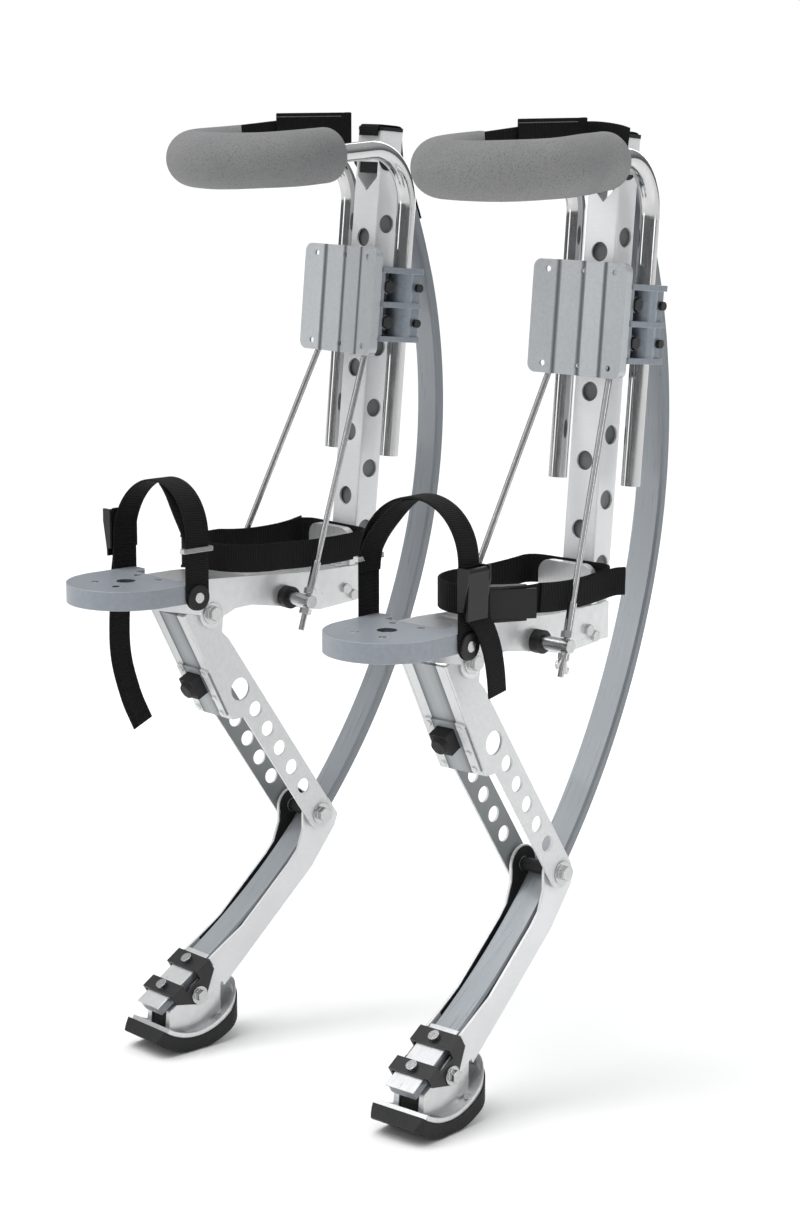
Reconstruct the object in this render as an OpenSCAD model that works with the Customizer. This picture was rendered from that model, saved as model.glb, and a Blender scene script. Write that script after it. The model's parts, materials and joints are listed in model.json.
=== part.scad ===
// Pair of jumping stilts. X runs to the wearer's left, toes point to -Y, Z is up from the ground.
// Each piece is drawn for the left stilt, outer side at +X, and mirrored for the right one.

/* [Stance] */
// Distance between the middles of the two stilts at the calf plates
stance_width = 332; // [300:1:400]
// Outward turn of each stilt in degrees
toe_out = 3.7; // [0:0.1:8]
// How far the left stilt stands behind the right one
step_back = 16.5; // [0:0.5:20]

/* [Upright] */
// Outside width of the channel
upright_width = 40; // [39:0.5:42]
// Depth of the channel, front to rear
upright_depth = 30; // [28:0.5:34]
// Wall of the channel
upright_wall = 2.5; // [2:0.1:2.6]
// Length of the channel along its lean
upright_length = 508; // [500:1:515]
// Lean to the rear in degrees
upright_lean = 5.43; // [5:0.05:5.8]
// Radius of the lightening holes
upright_hole_r = 10; // [6:0.5:10.5]
// First hole in the web, up from the foot
web_hole_first = 108; // [100:1:115]
// Pitch of the web holes
web_hole_pitch = 71; // [60:1:71]
// First hole in the flanges, up from the foot
flange_hole_first = 73; // [65:1:80]
// Pitch of the flange holes
flange_hole_pitch = 67; // [60:1:68]

/* [Leaf spring] */
// Width of the blade
spring_width = 34; // [28:0.5:34.5]
// Thickness of the blade
spring_thick = 12; // [9:0.5:12]
// Bevel along the blade's edges
spring_bevel = 2.5; // [1:0.1:3]
// Bend radius of the upper bow, rear face
spring_upper_r = 613; // [612:1:614]
// Bend radius of the lower bow, rear face
spring_lower_r = 735; // [735:1:736]

/* [Knee bar] */
// Outside radius of the tube
bar_r = 10; // [8:0.1:10.5]
// Wall of the tube
bar_wall = 1.8; // [1:0.1:2.5]
// Half distance between the two legs of the bar
bar_half_gap = 47; // [45:0.5:48]
// Bend radius at the rear corners
bar_corner_r = 58; // [50:1:60]
// Bend radius of the nose
bar_nose_r = 70; // [64:0.5:72]
// Height of the rear corners, along the lean
bar_corner_w = 494; // [485:1:500]
// Height of the open lower ends, along the lean
bar_low_end_w = 157; // [145:1:170]
// Radius of the foam
foam_r = 29; // [24:0.5:30]

/* [Calf plate and clamps] */
// Half width of the plate
plate_half_w = 59; // [56:0.5:62]
// Lower edge of the plate, along the lean
plate_low_w = 266; // [262:1:270]
// Height of the plate
plate_height = 116; // [112:1:122]
// Lower face of the tube clamps, along the lean
clamp_low_w = 282; // [278:1:286]
// Height of the tube clamps
clamp_height = 80; // [76:1:86]

/* [Foot frame] */
// Thickness of the side plates
frame_wall = 3; // [2:0.1:3.5]
// Inner half width between the side plates
frame_half_in = 31; // [31:0.1:32]
// Pivot of the lever, front to rear
pivot_y = -198; // [-200:0.5:-196]
// Pivot of the lever, height
pivot_z = 478; // [476:0.5:480]
// Radius of the pivot bolt
pivot_r = 5; // [4:0.1:6]
// Cross shaft, front to rear
shaft_y = -98; // [-102:1:-94]
// Cross shaft, height
shaft_z = 483; // [481:0.5:485]
// Radius of the cross shaft
shaft_r = 7; // [6:0.1:7.5]
// Half length of the cross shaft
shaft_half = 78; // [76:0.5:82]
// Radius of the tie rods
rod_r = 3.2; // [2.5:0.1:3.4]

/* [Toe plate] */
// Half width, also the radius of the round front
toe_half_w = 62; // [58:0.5:64]
// Top face above the ground
toe_top_z = 519; // [518.5:0.5:520]
// Depth of the rim
toe_rim = 20; // [14:0.5:22]
// Thickness of the plate
toe_thick = 4; // [3:0.1:4]
// Radius of the middle hole
toe_hole_r = 10; // [7:0.5:12]

/* [Straps] */
// Thickness of the webbing
web_thick = 2.2; // [1.5:0.1:2.4]
// Width of the webbing
web_width = 30; // [25:0.5:30]
// Top of the left toe strap's arch above the ground
left_arch_z = 643; // [630:1:650]
// Top of the right toe strap's arch above the ground
right_arch_z = 622; // [610:1:650]
// Lower end of the left toe strap's loose tail
left_tail_z = 453; // [400:1:480]
// Lower end of the right toe strap's loose tail
right_tail_z = 342; // [330:1:480]

/* [Lever] */
// Knee bolt, front to rear
knee_y = -47; // [-48:0.5:-46.5]
// Knee bolt, height
knee_z = 230; // [228:0.5:231]
// Radius of the knee bolt
knee_r = 4.5; // [4:0.1:5]
// Half width of the pierced strip
lever_half = 17; // [15:0.5:18]
// Thickness of the lever's sides
lever_wall = 3; // [2:0.1:3.2]
// Inner half width between the lever's sides
lever_half_in = 27; // [27:0.1:27.6]
// Radius of the lightening holes
lever_hole_r = 8.5; // [6:0.5:9.5]
// Pitch of the lightening holes
lever_hole_pitch = 29.5; // [27:0.5:30]

/* [Lower leg and hoof] */
// Inner half width between the leg's sides
leg_half_in = 20; // [19:0.1:20.5]
// Thickness of the leg's sides
leg_wall = 3; // [2:0.1:3.5]
// Half width of the rubber sole
sole_half_w = 34; // [31:0.5:36]
// Radius of the clamp bolts at the hoof
hoof_bolt_r = 4; // [3:0.1:5]

/* [Hidden] */
$fn = 64;
// running fit, seated fit and overshoot of a cut
run_gap = 0.05;
seat_gap = 0.1;
soft_gap = 0.3;
cut = 1;

// foot of the upright
foot_y = 5.7;
foot_z = 470;
// the tube's legs lie this far behind the front of the upright
bar_leg_v = 18;
// slope of the bar's arms to the front, and their flare
arm_pitch = 2.7;
arm_flare = 7.9;

// middle of the spring's upper bow, and directions from there: to the top, to the place where
// the two bows meet and, from the lower bow's middle, to the straight tail
upper_c = [-464, 672];
spring_d0 = [cos(27.5), sin(27.5)];
spring_d1 = [0.96, -0.28];
spring_d2 = [0.5376, -0.8432];
hoof_tilt = 90 + atan2(spring_d2[1], spring_d2[0]);
spring_tail = 86;
lower_c = upper_c + (spring_upper_r - spring_lower_r) * spring_d1;
tail_start = lower_c + spring_lower_r * spring_d2;

// the lever's strip leans forward by this angle
lever_tilt = 34.2;
pivot_p = (pivot_y - knee_y) * cos(lever_tilt) + (pivot_z - knee_z) * sin(lever_tilt);
pivot_q = -(pivot_y - knee_y) * sin(lever_tilt) + (pivot_z - knee_z) * cos(lever_tilt);
lever_half_out = lever_half_in + lever_wall;
frame_half_out = frame_half_in + frame_wall;
leg_half_out = leg_half_in + leg_wall;

// side bolt of the hoof clamp; the spring's tail lies in front of it
hoof_y = -217;
hoof_z = 57;
tail_q = (tail_start[1] - hoof_z) * cos(hoof_tilt) - (tail_start[0] - hoof_y) * sin(hoof_tilt);
tail_p = (tail_start[0] - hoof_y) * cos(hoof_tilt) + (tail_start[1] - hoof_z) * sin(hoof_tilt);

toe_low_z = toe_top_z - toe_rim;
toe_mid_y = -285;
frame_top_z = toe_top_z - toe_thick;
strap_mid_y = -240;
strap_in_x = toe_half_w + 0.2;
strap_out_x = strap_in_x + web_thick;
ankle_low_z = 518;
ankle_half_w = 56;
ankle_front_y = -124;
ankle_rear_y = 6;

// Frames

module left_side() translate([stance_width / 2, step_back / 2, 0]) rotate([0, 0, toe_out]) children();

module right_side() mirror([1, 0, 0]) translate([stance_width / 2, -step_back / 2, 0]) rotate([0, 0, toe_out])
    children();

module both_sides() {
    left_side() children();
    right_side() children();
}

// both halves of one stilt
module pair() {
    children();
    mirror([1, 0, 0]) children();
}

module on_upright() translate([0, foot_y, foot_z]) rotate([-upright_lean, 0, 0]) children();

module on_lever() translate([0, knee_y, knee_z]) rotate([lever_tilt, 0, 0]) children();

module on_hoof() translate([0, hoof_y, hoof_z]) rotate([hoof_tilt, 0, 0]) children();

// a point (x, depth, height) of the upright's frame in the stilt's frame
function lean(p) = [
    p[0],
    foot_y + p[1] * cos(upright_lean) + p[2] * sin(upright_lean),
    foot_z - p[1] * sin(upright_lean) + p[2] * cos(upright_lean)
];

// Shapes

// side profile drawn in (Y, Z), from x0 to x1
module slab(x0, x1) translate([x0, 0, 0]) rotate([90, 0, 90]) linear_extrude(x1 - x0) children();

// round bar along X
module pin(y, z, x0, x1, r) translate([x0, y, z]) rotate([0, 90, 0]) cylinder(h = x1 - x0, r = r);

// hexagon head or nut along X
module hex(y, z, x0, x1, r) translate([x0, y, z]) rotate([0, 90, 0]) cylinder(h = x1 - x0, r = r, $fn = 6);

// box given by its two corners
module block(low, high) translate(low) cube(high - low);

// rectangle with round corners, given by its two corners
module soft_rect(low, high, r) {
    translate([low[0] + r, low[1]]) square([high[0] - low[0] - 2 * r, high[1] - low[1]]);
    translate([low[0], low[1] + r]) square([high[0] - low[0], high[1] - low[1] - 2 * r]);
    for (x = [low[0] + r, high[0] - r], y = [low[1] + r, high[1] - r]) translate([x, y]) circle(r);
}

// sector of a ring about an axis along X, between two directions
module bow(c, d0, d1) intersection() {
    translate([0, c[0], c[1]]) rotate([90, 0, 90]) rotate_extrude() children();
    slab(-spring_width, spring_width) polygon([c, c + 1000 * d1, c + 1000 * d0]);
}

function unit(v) = v / norm(v);

// frame whose Z axis runs along d
module along(d) rotate([0, acos(d[2] / norm(d)), atan2(d[1], d[0])]) children();

// round bar from a to b
module rod(a, b, r) translate(a) along(b - a) cylinder(h = norm(b - a), r = r);

// tangent length of a bend at point i of a path
function bend_len(path, radii, i) =
    i <= 0 || i >= len(path) - 1 ? 0 :
    radii[i] * tan(acos(unit(path[i] - path[i - 1]) * unit(path[i + 1] - path[i])) / 2);

// tube section; a hole of no size leaves a full disc
module ring(r, hole) difference() {
    circle(r);
    if (hole > 0) circle(hole);
}

// tube along a path of points, bent to the given radius at each inner point
module bent_tube(path, radii, r, hole) {
    for (i = [0 : len(path) - 2]) {
        d = unit(path[i + 1] - path[i]);
        a = path[i] + d * bend_len(path, radii, i);
        b = path[i + 1] - d * bend_len(path, radii, i + 1);
        translate(a) along(d) linear_extrude(norm(b - a)) ring(r, hole);
    }
    for (i = [1 : 1 : len(path) - 2]) {
        d = unit(path[i] - path[i - 1]);
        e = unit(path[i + 1] - path[i]);
        n = unit(e - (d * e) * d);
        z = cross(-n, d);
        translate(path[i] - d * bend_len(path, radii, i) + radii[i] * n) along(z) rotate([0, 0, spin(z, -n)])
            rotate_extrude(angle = acos(d * e)) translate([radii[i], 0]) ring(r, hole);
    }
}

// turn about the axis z, inside the frame along z, that brings X onto n
function spin(z, n) = let (t = acos(z[2]), f = atan2(z[1], z[0]))
    atan2(n * [-sin(f), cos(f), 0], n * [cos(t) * cos(f), cos(t) * sin(f), -sin(t)]);

// Upright, spring and calf plate

plate_front_v = -31;
plate_rear_v = -20.5;
plate_dish = 7;
plate_hole_x = 42;
plate_hole_w = 10;
plate_hole_r = 3;
sheet = 2.5;
top_bolt_v = 10;
top_bolt_drop = 30;
top_bolt_w = upright_length - top_bolt_drop;
cap_depth = 46;
// shield-shaped window in the web below the cap
window_half = 16;
window_drop = 34;
cap_high = 4;
cap_lap = 1;
top_bolt_r = 4;

module channel_section() difference() {
    soft_rect([-upright_width / 2, 0], [upright_width / 2, upright_depth], upright_wall * 0.8);
    translate([-upright_width / 2 + upright_wall, upright_wall])
        square([upright_width - 2 * upright_wall, upright_depth]);
}

module upright_shape() on_upright() difference() {
    linear_extrude(upright_length) channel_section();
    for (i = [0 : 4]) translate([0, -cut, web_hole_first + i * web_hole_pitch]) rotate([-90, 0, 0])
        cylinder(h = upright_wall + 2 * cut, r = upright_hole_r);
    for (i = [0 : 5])
        pin(upright_depth / 2, flange_hole_first + i * flange_hole_pitch, -upright_width, upright_width,
            upright_hole_r);
    pin(top_bolt_v, top_bolt_w, -upright_width, upright_width, top_bolt_r + seat_gap);
    translate([0, upright_wall + cut, upright_length - window_drop]) rotate([90, 0, 0])
        linear_extrude(upright_wall + 2 * cut) polygon([
            [-window_half, 0], [-window_half, -window_half], [0, -2 * window_half],
            [window_half, -window_half], [window_half, 0]
        ]);
}

// cross section of the spring, thickness against width
function blade(near, far) = let (w = spring_width / 2, b = spring_bevel) [
    [near, b - w], [near + b, -w], [far - b, -w], [far, b - w],
    [far, w - b], [far - b, w], [near + b, w], [near, w - b]
];

module spring_shape() {
    bow(upper_c, spring_d0, spring_d1) polygon(blade(spring_upper_r - spring_thick, spring_upper_r));
    bow(lower_c, spring_d1, spring_d2) polygon(blade(spring_lower_r - spring_thick, spring_lower_r));
    translate([0, tail_start[0], tail_start[1]]) rotate([hoof_tilt, 0, 0]) rotate([90, 0, 0])
        linear_extrude(spring_tail) rotate([0, 0, 90]) mirror([0, 1]) polygon(blade(0, spring_thick));
}

// cap with a wedge that lies between the web and the spring
module top_cap_shape() {
    half = upright_width / 2 - upright_wall - seat_gap;
    difference() {
        intersection() {
            on_upright() block([-half, upright_wall + seat_gap, upright_length - cap_depth],
                [half, upright_depth, upright_length]);
            translate([0, upper_c[0], upper_c[1]]) rotate([0, 90, 0])
                cylinder(h = upright_width, r = spring_upper_r - spring_thick - seat_gap, center = true);
        }
        on_upright() pin(top_bolt_v, top_bolt_w, -upright_width, upright_width, top_bolt_r + seat_gap);
    }
    lid = upright_width / 2 + cap_lap;
    on_upright() translate([0, 0, upright_length]) linear_extrude(cap_high)
        soft_rect([-lid, -cap_lap], [lid, upright_depth + cap_lap], 4);
}

// front of the calf plate in plan, set back by the given amount
function dish(back, side) = [
    [-plate_half_w + side, plate_front_v + back],
    [-plate_half_w / 2, plate_front_v + plate_dish * 0.62 + back],
    [0, plate_front_v + plate_dish + back], [plate_half_w / 2, plate_front_v + plate_dish * 0.62 + back],
    [plate_half_w - side, plate_front_v + back]
];

module calf_plate_shape() difference() {
    calf_sheet();
    pair() rod(rod_foot, rod_end, rod_r + soft_gap);
}

module calf_sheet() on_upright() translate([0, 0, plate_low_w]) difference() {
    intersection() {
        linear_extrude(plate_height)
            polygon(concat(dish(0, 0), [[plate_half_w, plate_rear_v], [-plate_half_w, plate_rear_v]]));
        translate([0, plate_rear_v + cut, 0]) rotate([90, 0, 0]) linear_extrude(plate_half_w)
            soft_rect([-plate_half_w, 0], [plate_half_w, plate_height], 9);
    }
    translate([0, 0, sheet]) linear_extrude(plate_height - 2 * sheet)
        polygon(concat(dish(sheet, sheet), [[plate_half_w - sheet, plate_rear_v + cut],
            [sheet - plate_half_w, plate_rear_v + cut]]));
    for (x = [-plate_hole_x, 0, plate_hole_x], w = [plate_hole_w, plate_height - plate_hole_w])
        translate([x, plate_front_v - cut, w]) rotate([-90, 0, 0])
            cylinder(h = plate_dish + sheet + 3, r = plate_hole_r);
}

// Tube clamps on both sides of the upright

clamp_out_x = 61;
clamp_rear_v = 39;
clamp_rib = 6;
clamp_bolt_v = -9;
clamp_bolt_r = 3.5;
clamp_screw_v = 35;
clamp_screw_r = 2.5;
clamp_face_x = 56;
clamp_levels = [clamp_low_w + 0.26 * clamp_height, clamp_low_w + 0.74 * clamp_height];

// tie rod: its lower end passes the shaft, its upper end sits in the clamp
rod_low_x = 71;
rod_end = lean([35.5, -11.5, clamp_low_w + 12]);
rod_foot = [rod_low_x, shaft_y, shaft_z];
rod_dir = unit(rod_end - rod_foot);
rod_tip = rod_foot - rod_dir * 32;

module one_clamp() difference() {
    on_upright() translate([0, 0, clamp_low_w]) {
        translate([bar_half_gap, bar_leg_v, 0]) cylinder(h = clamp_height, r = bar_r + 4);
        for (w = [0, clamp_height / 2 - clamp_rib / 2, clamp_height - clamp_rib]) translate([0, 0, w])
            linear_extrude(clamp_rib)
                soft_rect([upright_width / 2, plate_rear_v], [clamp_out_x, clamp_rear_v], 2);
        block([upright_width / 2, plate_rear_v, 0], [upright_width / 2 + 6, upright_depth, clamp_height]);
        block([upright_width / 2, plate_rear_v, 0], [clamp_out_x - 2, plate_rear_v + 5, clamp_height]);
        block([bar_half_gap - 8, bar_leg_v + bar_r, 0], [clamp_face_x, clamp_rear_v, clamp_height]);
        for (w = clamp_levels)
            pin(clamp_bolt_v, w - clamp_low_w, upright_width / 2, clamp_face_x, clamp_bolt_r + 4);
    }
    on_upright() {
        translate([bar_half_gap, bar_leg_v, 0]) cylinder(h = upright_length, r = bar_r + run_gap);
        for (w = clamp_levels) {
            pin(clamp_bolt_v, w, 0, clamp_out_x + cut, clamp_bolt_r + seat_gap);
            pin(clamp_screw_v, w, 0, clamp_face_x + cut, clamp_screw_r + seat_gap);
        }
    }
    rod(rod_foot, rod_end + rod_dir * seat_gap, rod_r + seat_gap);
}

module tube_clamps_shape() pair() one_clamp();

// bolts across the front of the upright, heads at one end and nuts at the other, and pinch screws
module clamp_screws_shape() on_upright() for (w = clamp_levels) {
    pin(clamp_bolt_v, w, -clamp_face_x, clamp_face_x, clamp_bolt_r);
    hex(clamp_bolt_v, w, clamp_face_x, clamp_face_x + 5, 7);
    hex(clamp_bolt_v, w, -clamp_face_x - 5, -clamp_face_x, 7);
    pair() {
        pin(clamp_screw_v, w, bar_half_gap - 8, clamp_face_x, clamp_screw_r);
        pin(clamp_screw_v, w, clamp_face_x, clamp_face_x + 4.5, 4.5);
    }
}

// Knee bar, drawn in the upright's frame turned back to the stilt's frame

bar_low = lean([bar_half_gap, bar_leg_v, bar_low_end_w]);
bar_corner = lean([bar_half_gap, bar_leg_v, bar_corner_w]);
// the nose's middle lies this far in front of the corners; each arm meets the nose as a tangent
nose_reach = (bar_nose_r - bar_half_gap * cos(arm_flare)) / sin(arm_flare);
arm_dir = [sin(arm_flare), -cos(arm_flare) * cos(arm_pitch), -cos(arm_flare) * sin(arm_pitch)];
arm_len = nose_reach * cos(arm_flare) - bar_half_gap * sin(arm_flare);
arm_end = bar_corner + arm_dir * arm_len;
// the foam ends nearer to the corner on the arm without a strap of the left stilt
foam_long = bar_corner + arm_dir * 103;
foam_short = bar_corner + arm_dir * 138;

function flip(p) = [-p[0], p[1], p[2]];

// round front of the bar
module nose(r, hole) {
    translate([0, bar_corner[1], bar_corner[2]]) rotate([arm_pitch, 0, 0]) translate([0, -nose_reach, 0])
        rotate([0, 0, 180 - arm_flare]) rotate_extrude(angle = 180 + 2 * arm_flare)
            translate([bar_nose_r, 0]) ring(r, hole);
}

module knee_bar_shape() {
    nose(bar_r, bar_r - bar_wall);
    pair() bent_tube([bar_low, bar_corner, arm_end], [0, bar_corner_r, 0], bar_r, bar_r - bar_wall);
}

// end of the foam with a round edge
module foam_end(at, d) translate(at) along(d) rotate_extrude() {
    bore = bar_r + seat_gap;
    translate([bore, 0]) square([foam_r - foam_edge - bore, foam_edge]);
    translate([foam_r - foam_edge, 0]) intersection() {
        circle(foam_edge);
        square(foam_edge);
    }
}

foam_edge = 8;

module foam_grip_shape(outer_end) {
    nose(foam_r, bar_r + seat_gap);
    bent_tube([outer_end, arm_end], [0, 0], foam_r, bar_r + seat_gap);
    foam_end(outer_end, -arm_dir);
    mirror([1, 0, 0]) {
        bent_tube([foam_short, arm_end], [0, 0], foam_r, bar_r + seat_gap);
        foam_end(foam_short, -arm_dir);
    }
}

// webbing along the inside of the left stilt's inner arm or the right one's outer arm,
// looped round the bare tube behind the foam
strap_loop_r = bar_r + seat_gap;
knee_web = 44;
knee_strap_len = arm_len + 18;

module knee_strap_shape() {
    loop_at = flip(bar_corner + arm_dir * 88);
    d = flip(arm_dir);
    translate(loop_at) along(d) difference() {
        cylinder(h = 34, r = strap_loop_r + web_thick);
        translate([0, 0, -cut]) cylinder(h = 34 + 2 * cut, r = strap_loop_r);
    }
    translate(flip(bar_corner)) rotate([arm_pitch, 0, -arm_flare]) {
        translate([strap_loop_r, -122, -2]) cube([foam_r + soft_gap - strap_loop_r + web_thick, 34, 4]);
        translate([foam_r + soft_gap, 20 - knee_strap_len, -6])
            cube([web_thick, knee_strap_len - 40, knee_web]);
    }
}

// Foot frame and heel

// front end of the frame under the toe plate, and outline of its sides
frame_front_y = -328;
frame_nose_r = 16;
heel_bolts_at = [[-14, 481], [-3, 473]];
heel_bolt_r = 3;
heel_top_z = 505;
bush_r = shaft_r + 3;

module frame_side() {
    translate([pivot_y, pivot_z]) circle(frame_nose_r);
    polygon([
        [frame_front_y, frame_top_z], [frame_front_y, frame_top_z - 12], [pivot_y - frame_nose_r, pivot_z],
        [pivot_y + frame_nose_r, pivot_z - 5], [-167, 479], [-145, 480], [-88, 470], [-51, 462], [3, 466],
        [12, 471], [12, heel_top_z], [-65, heel_top_z + 1], [-134, 511], [pivot_y, frame_top_z]
    ]);
}

module foot_frame_shape() difference() {
    union() {
        pair() slab(frame_half_in, frame_half_out) frame_side();
        slab(seat_gap - frame_half_in, frame_half_in - seat_gap) polygon([
            [frame_front_y, frame_top_z], [frame_front_y, frame_top_z - frame_wall],
            [pivot_y, frame_top_z - frame_wall], [-150, 512.1 - frame_wall], [-150, 512.1],
            [pivot_y, frame_top_z]
        ]);
    }
    pin(pivot_y, pivot_z, -frame_half_out - cut, frame_half_out + cut, pivot_r + seat_gap);
    pin(shaft_y, shaft_z, -frame_half_out - cut, frame_half_out + cut, bush_r + seat_gap);
    for (b = heel_bolts_at)
        pin(b[0], b[1], -frame_half_out - cut, frame_half_out + cut, heel_bolt_r + seat_gap);
    for (x = toe_screw_x, y = toe_screw_y) translate([x, y, frame_top_z - 20])
        cylinder(h = 30, r = toe_screw_r + seat_gap);
    translate([0, toe_mid_y, frame_top_z - 20]) cylinder(h = 30, r = toe_hole_r + 2);
}

// block that grips the foot of the upright, with the polished rest on top
module heel_plate_shape() {
    difference() {
        block([-frame_half_in, -25, foot_z - 4], [frame_half_in, 26, heel_top_z]);
        on_upright() translate([-upright_width / 2 - seat_gap, -seat_gap, -60])
            cube([upright_width + 2 * seat_gap, 2 * upright_depth, 120]);
        for (b = heel_bolts_at) pin(b[0], b[1], -frame_half_out, frame_half_out, heel_bolt_r + seat_gap);
    }
    slab(-30, 30) polygon([[-24, heel_top_z], [0, heel_top_z], [0, heel_top_z + 3], [-24, heel_top_z + 3]]);
    translate([0, 0, heel_top_z + 1.2]) rotate([90, 0, 0]) linear_extrude(8) difference() {
        soft_rect([-35, -16], [35, 40], 14);
        translate([-40, -20]) square([80, 20]);
    }
}

module heel_bolts_shape() {
    for (b = heel_bolts_at) {
        pin(b[0], b[1], -frame_half_out, frame_half_out, heel_bolt_r);
        pair() hex(b[0], b[1], frame_half_out, frame_half_out + 4.5, 6);
    }
    pair() translate([24, -16, heel_top_z + 3]) cylinder(h = 2, r = 4);
    on_upright() {
        pin(top_bolt_v, top_bolt_w, -upright_width / 2, upright_width / 2, top_bolt_r);
        pair() pin(top_bolt_v, top_bolt_w, upright_width / 2, upright_width / 2 + 1.5, 11);
        pair() pin(top_bolt_v, top_bolt_w, upright_width / 2 + 1.5, upright_width / 2 + 5, 7);
    }
}

module pivot_bolt_shape() {
    pin(pivot_y, pivot_z, -frame_half_out, frame_half_out, pivot_r);
    pair() pin(pivot_y, pivot_z, frame_half_out, frame_half_out + 2, 12);
    pair() hex(pivot_y, pivot_z, frame_half_out + 2, frame_half_out + 9, 8);
}

// Cross shaft and tie rods

module cross_shaft_shape() difference() {
    pin(shaft_y, shaft_z, -shaft_half, shaft_half, shaft_r);
    pair() rod(rod_tip, rod_end, rod_r + seat_gap);
}

module shaft_bush_shape() pair() difference() {
    union() {
        pin(shaft_y, shaft_z, frame_half_in, frame_half_out, bush_r);
        pin(shaft_y, shaft_z, frame_half_out, frame_half_out + 10, bush_r + 2);
    }
    pin(shaft_y, shaft_z, frame_half_in - cut, frame_half_out + 10 + cut, shaft_r + seat_gap);
}

sleeve_low = 15;
nut_high = 6;
nut_stand = shaft_r + 1.3;

module tie_rod_shape() pair() {
    rod(rod_tip, rod_end, rod_r);
    rod(rod_foot + rod_dir * sleeve_low, rod_foot + rod_dir * 44, rod_r + 1.4);
}

module rod_nut(low) translate(rod_foot + rod_dir * low) along(rod_dir) difference() {
    cylinder(h = nut_high, r = 6.6, $fn = 6);
    translate([0, 0, -cut]) cylinder(h = nut_high + 2 * cut, r = rod_r + seat_gap);
}

module wing_nut(low) translate(rod_foot + rod_dir * low) along(rod_dir) difference() {
    union() {
        cylinder(h = nut_high, r = 6);
        pair() translate([5, 1.2, 0]) rotate([90, 0, 0]) linear_extrude(2.4)
            polygon([[0, 0], [0, nut_high], [9, -7], [12, -4], [13, -9], [8, -12]]);
    }
    translate([0, 0, -20]) cylinder(h = 40, r = rod_r + seat_gap);
}

module upper_rod_nuts() pair() rod_nut(nut_stand);

module lower_hex_nuts() pair() rod_nut(-nut_stand - nut_high);

module lower_wing_nuts() pair() wing_nut(-nut_stand - nut_high);

// Toe plate and its strap

toe_rear_y = -228;
toe_notch_y = -246;
toe_lobe_x = 38;
toe_wall = 3;
toe_screw_x = [-18, 18];
toe_screw_y = [-311, -256];
toe_screw_r = 2.5;
toe_head_r = 4.5;
disc_z = 505;
disc_r = 13;
disc_pin_r = 2.5;
// metal slide on the inner side of the toe strap
slide_high = 5;
slide_thick = 2;
slide_half = web_width / 2 + 4;

module toe_plan(inset) {
    w = toe_half_w - inset;
    translate([0, toe_mid_y]) intersection() {
        circle(w);
        translate([-w, -w]) square([2 * w, w]);
    }
    translate([-w, toe_mid_y]) square([2 * w, toe_notch_y - inset - toe_mid_y]);
    pair() soft_rect([toe_lobe_x + inset, toe_mid_y], [w, toe_rear_y - inset], 9 - inset);
}

module toe_plate_shape() difference() {
    translate([0, 0, toe_low_z]) linear_extrude(toe_rim) toe_plan(0);
    translate([0, 0, toe_low_z - cut]) linear_extrude(toe_rim - toe_thick + cut) {
        toe_plan(toe_wall);
        translate([-toe_lobe_x, toe_mid_y]) square([2 * toe_lobe_x, toe_rear_y - toe_mid_y]);
    }
    translate([0, toe_mid_y, toe_low_z]) cylinder(h = toe_rim + cut, r = toe_hole_r);
    for (x = toe_screw_x, y = toe_screw_y) translate([x, y, frame_top_z - cut]) {
        cylinder(h = 10, r = toe_screw_r + seat_gap);
        translate([0, 0, toe_thick - 2 + cut]) cylinder(h = 10, r = toe_head_r + seat_gap);
    }
    pin(strap_mid_y, disc_z, -toe_half_w - cut, toe_half_w + cut, disc_pin_r + seat_gap);
}

module toe_screws_shape() for (x = toe_screw_x, y = toe_screw_y) translate([x, y, frame_top_z]) {
    translate([0, 0, -frame_wall - 3]) cylinder(h = frame_wall + 3 + toe_thick - 2, r = toe_screw_r);
    translate([0, 0, toe_thick - 2]) cylinder(h = 2, r = toe_head_r);
}

// arch of webbing in front view
module arch(x, low, top) {
    translate([0, top - strap_out_x]) circle(x);
    translate([-x, low]) square([2 * x, top - strap_out_x - low]);
}

// height of the cam buckle on the toe strap, and swing of the loose tail
toe_buckle_z = 562;
tail_swing = 9;
strap_lap = 8;
buckle_half = 21;

module toe_strap_shape(top, tail_end) difference() {
    translate([0, strap_mid_y + web_width / 2, 0]) {
        rotate([90, 0, 0]) linear_extrude(web_width) difference() {
            arch(strap_out_x, toe_low_z - strap_lap, top);
            arch(strap_in_x, toe_low_z - strap_lap - cut, top);
        }
        tail_knee = toe_buckle_z - buckle_half - 4;
        translate([0, -web_width / 2, tail_knee]) {
            rotate([90, 0, 0]) linear_extrude(web_width - 2, center = true)
                translate([strap_out_x - 0.2, 0])
                    square([web_thick + 0.2, toe_buckle_z + buckle_half + 2 - tail_knee]);
            rotate([90 + tail_swing, 0, 0]) linear_extrude(web_width - 2, center = true) polygon([
                [strap_out_x, 4], [strap_out_x + web_thick, 4], [strap_out_x + 8, -18],
                [strap_out_x + 8, tail_end - tail_knee], [strap_out_x + 8 - web_thick, tail_end - tail_knee],
                [strap_out_x + 8 - web_thick, -18]
            ]);
        }
    }
    pin(strap_mid_y, disc_z, -strap_out_x - cut, strap_out_x + cut, disc_pin_r + seat_gap);
}

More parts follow.
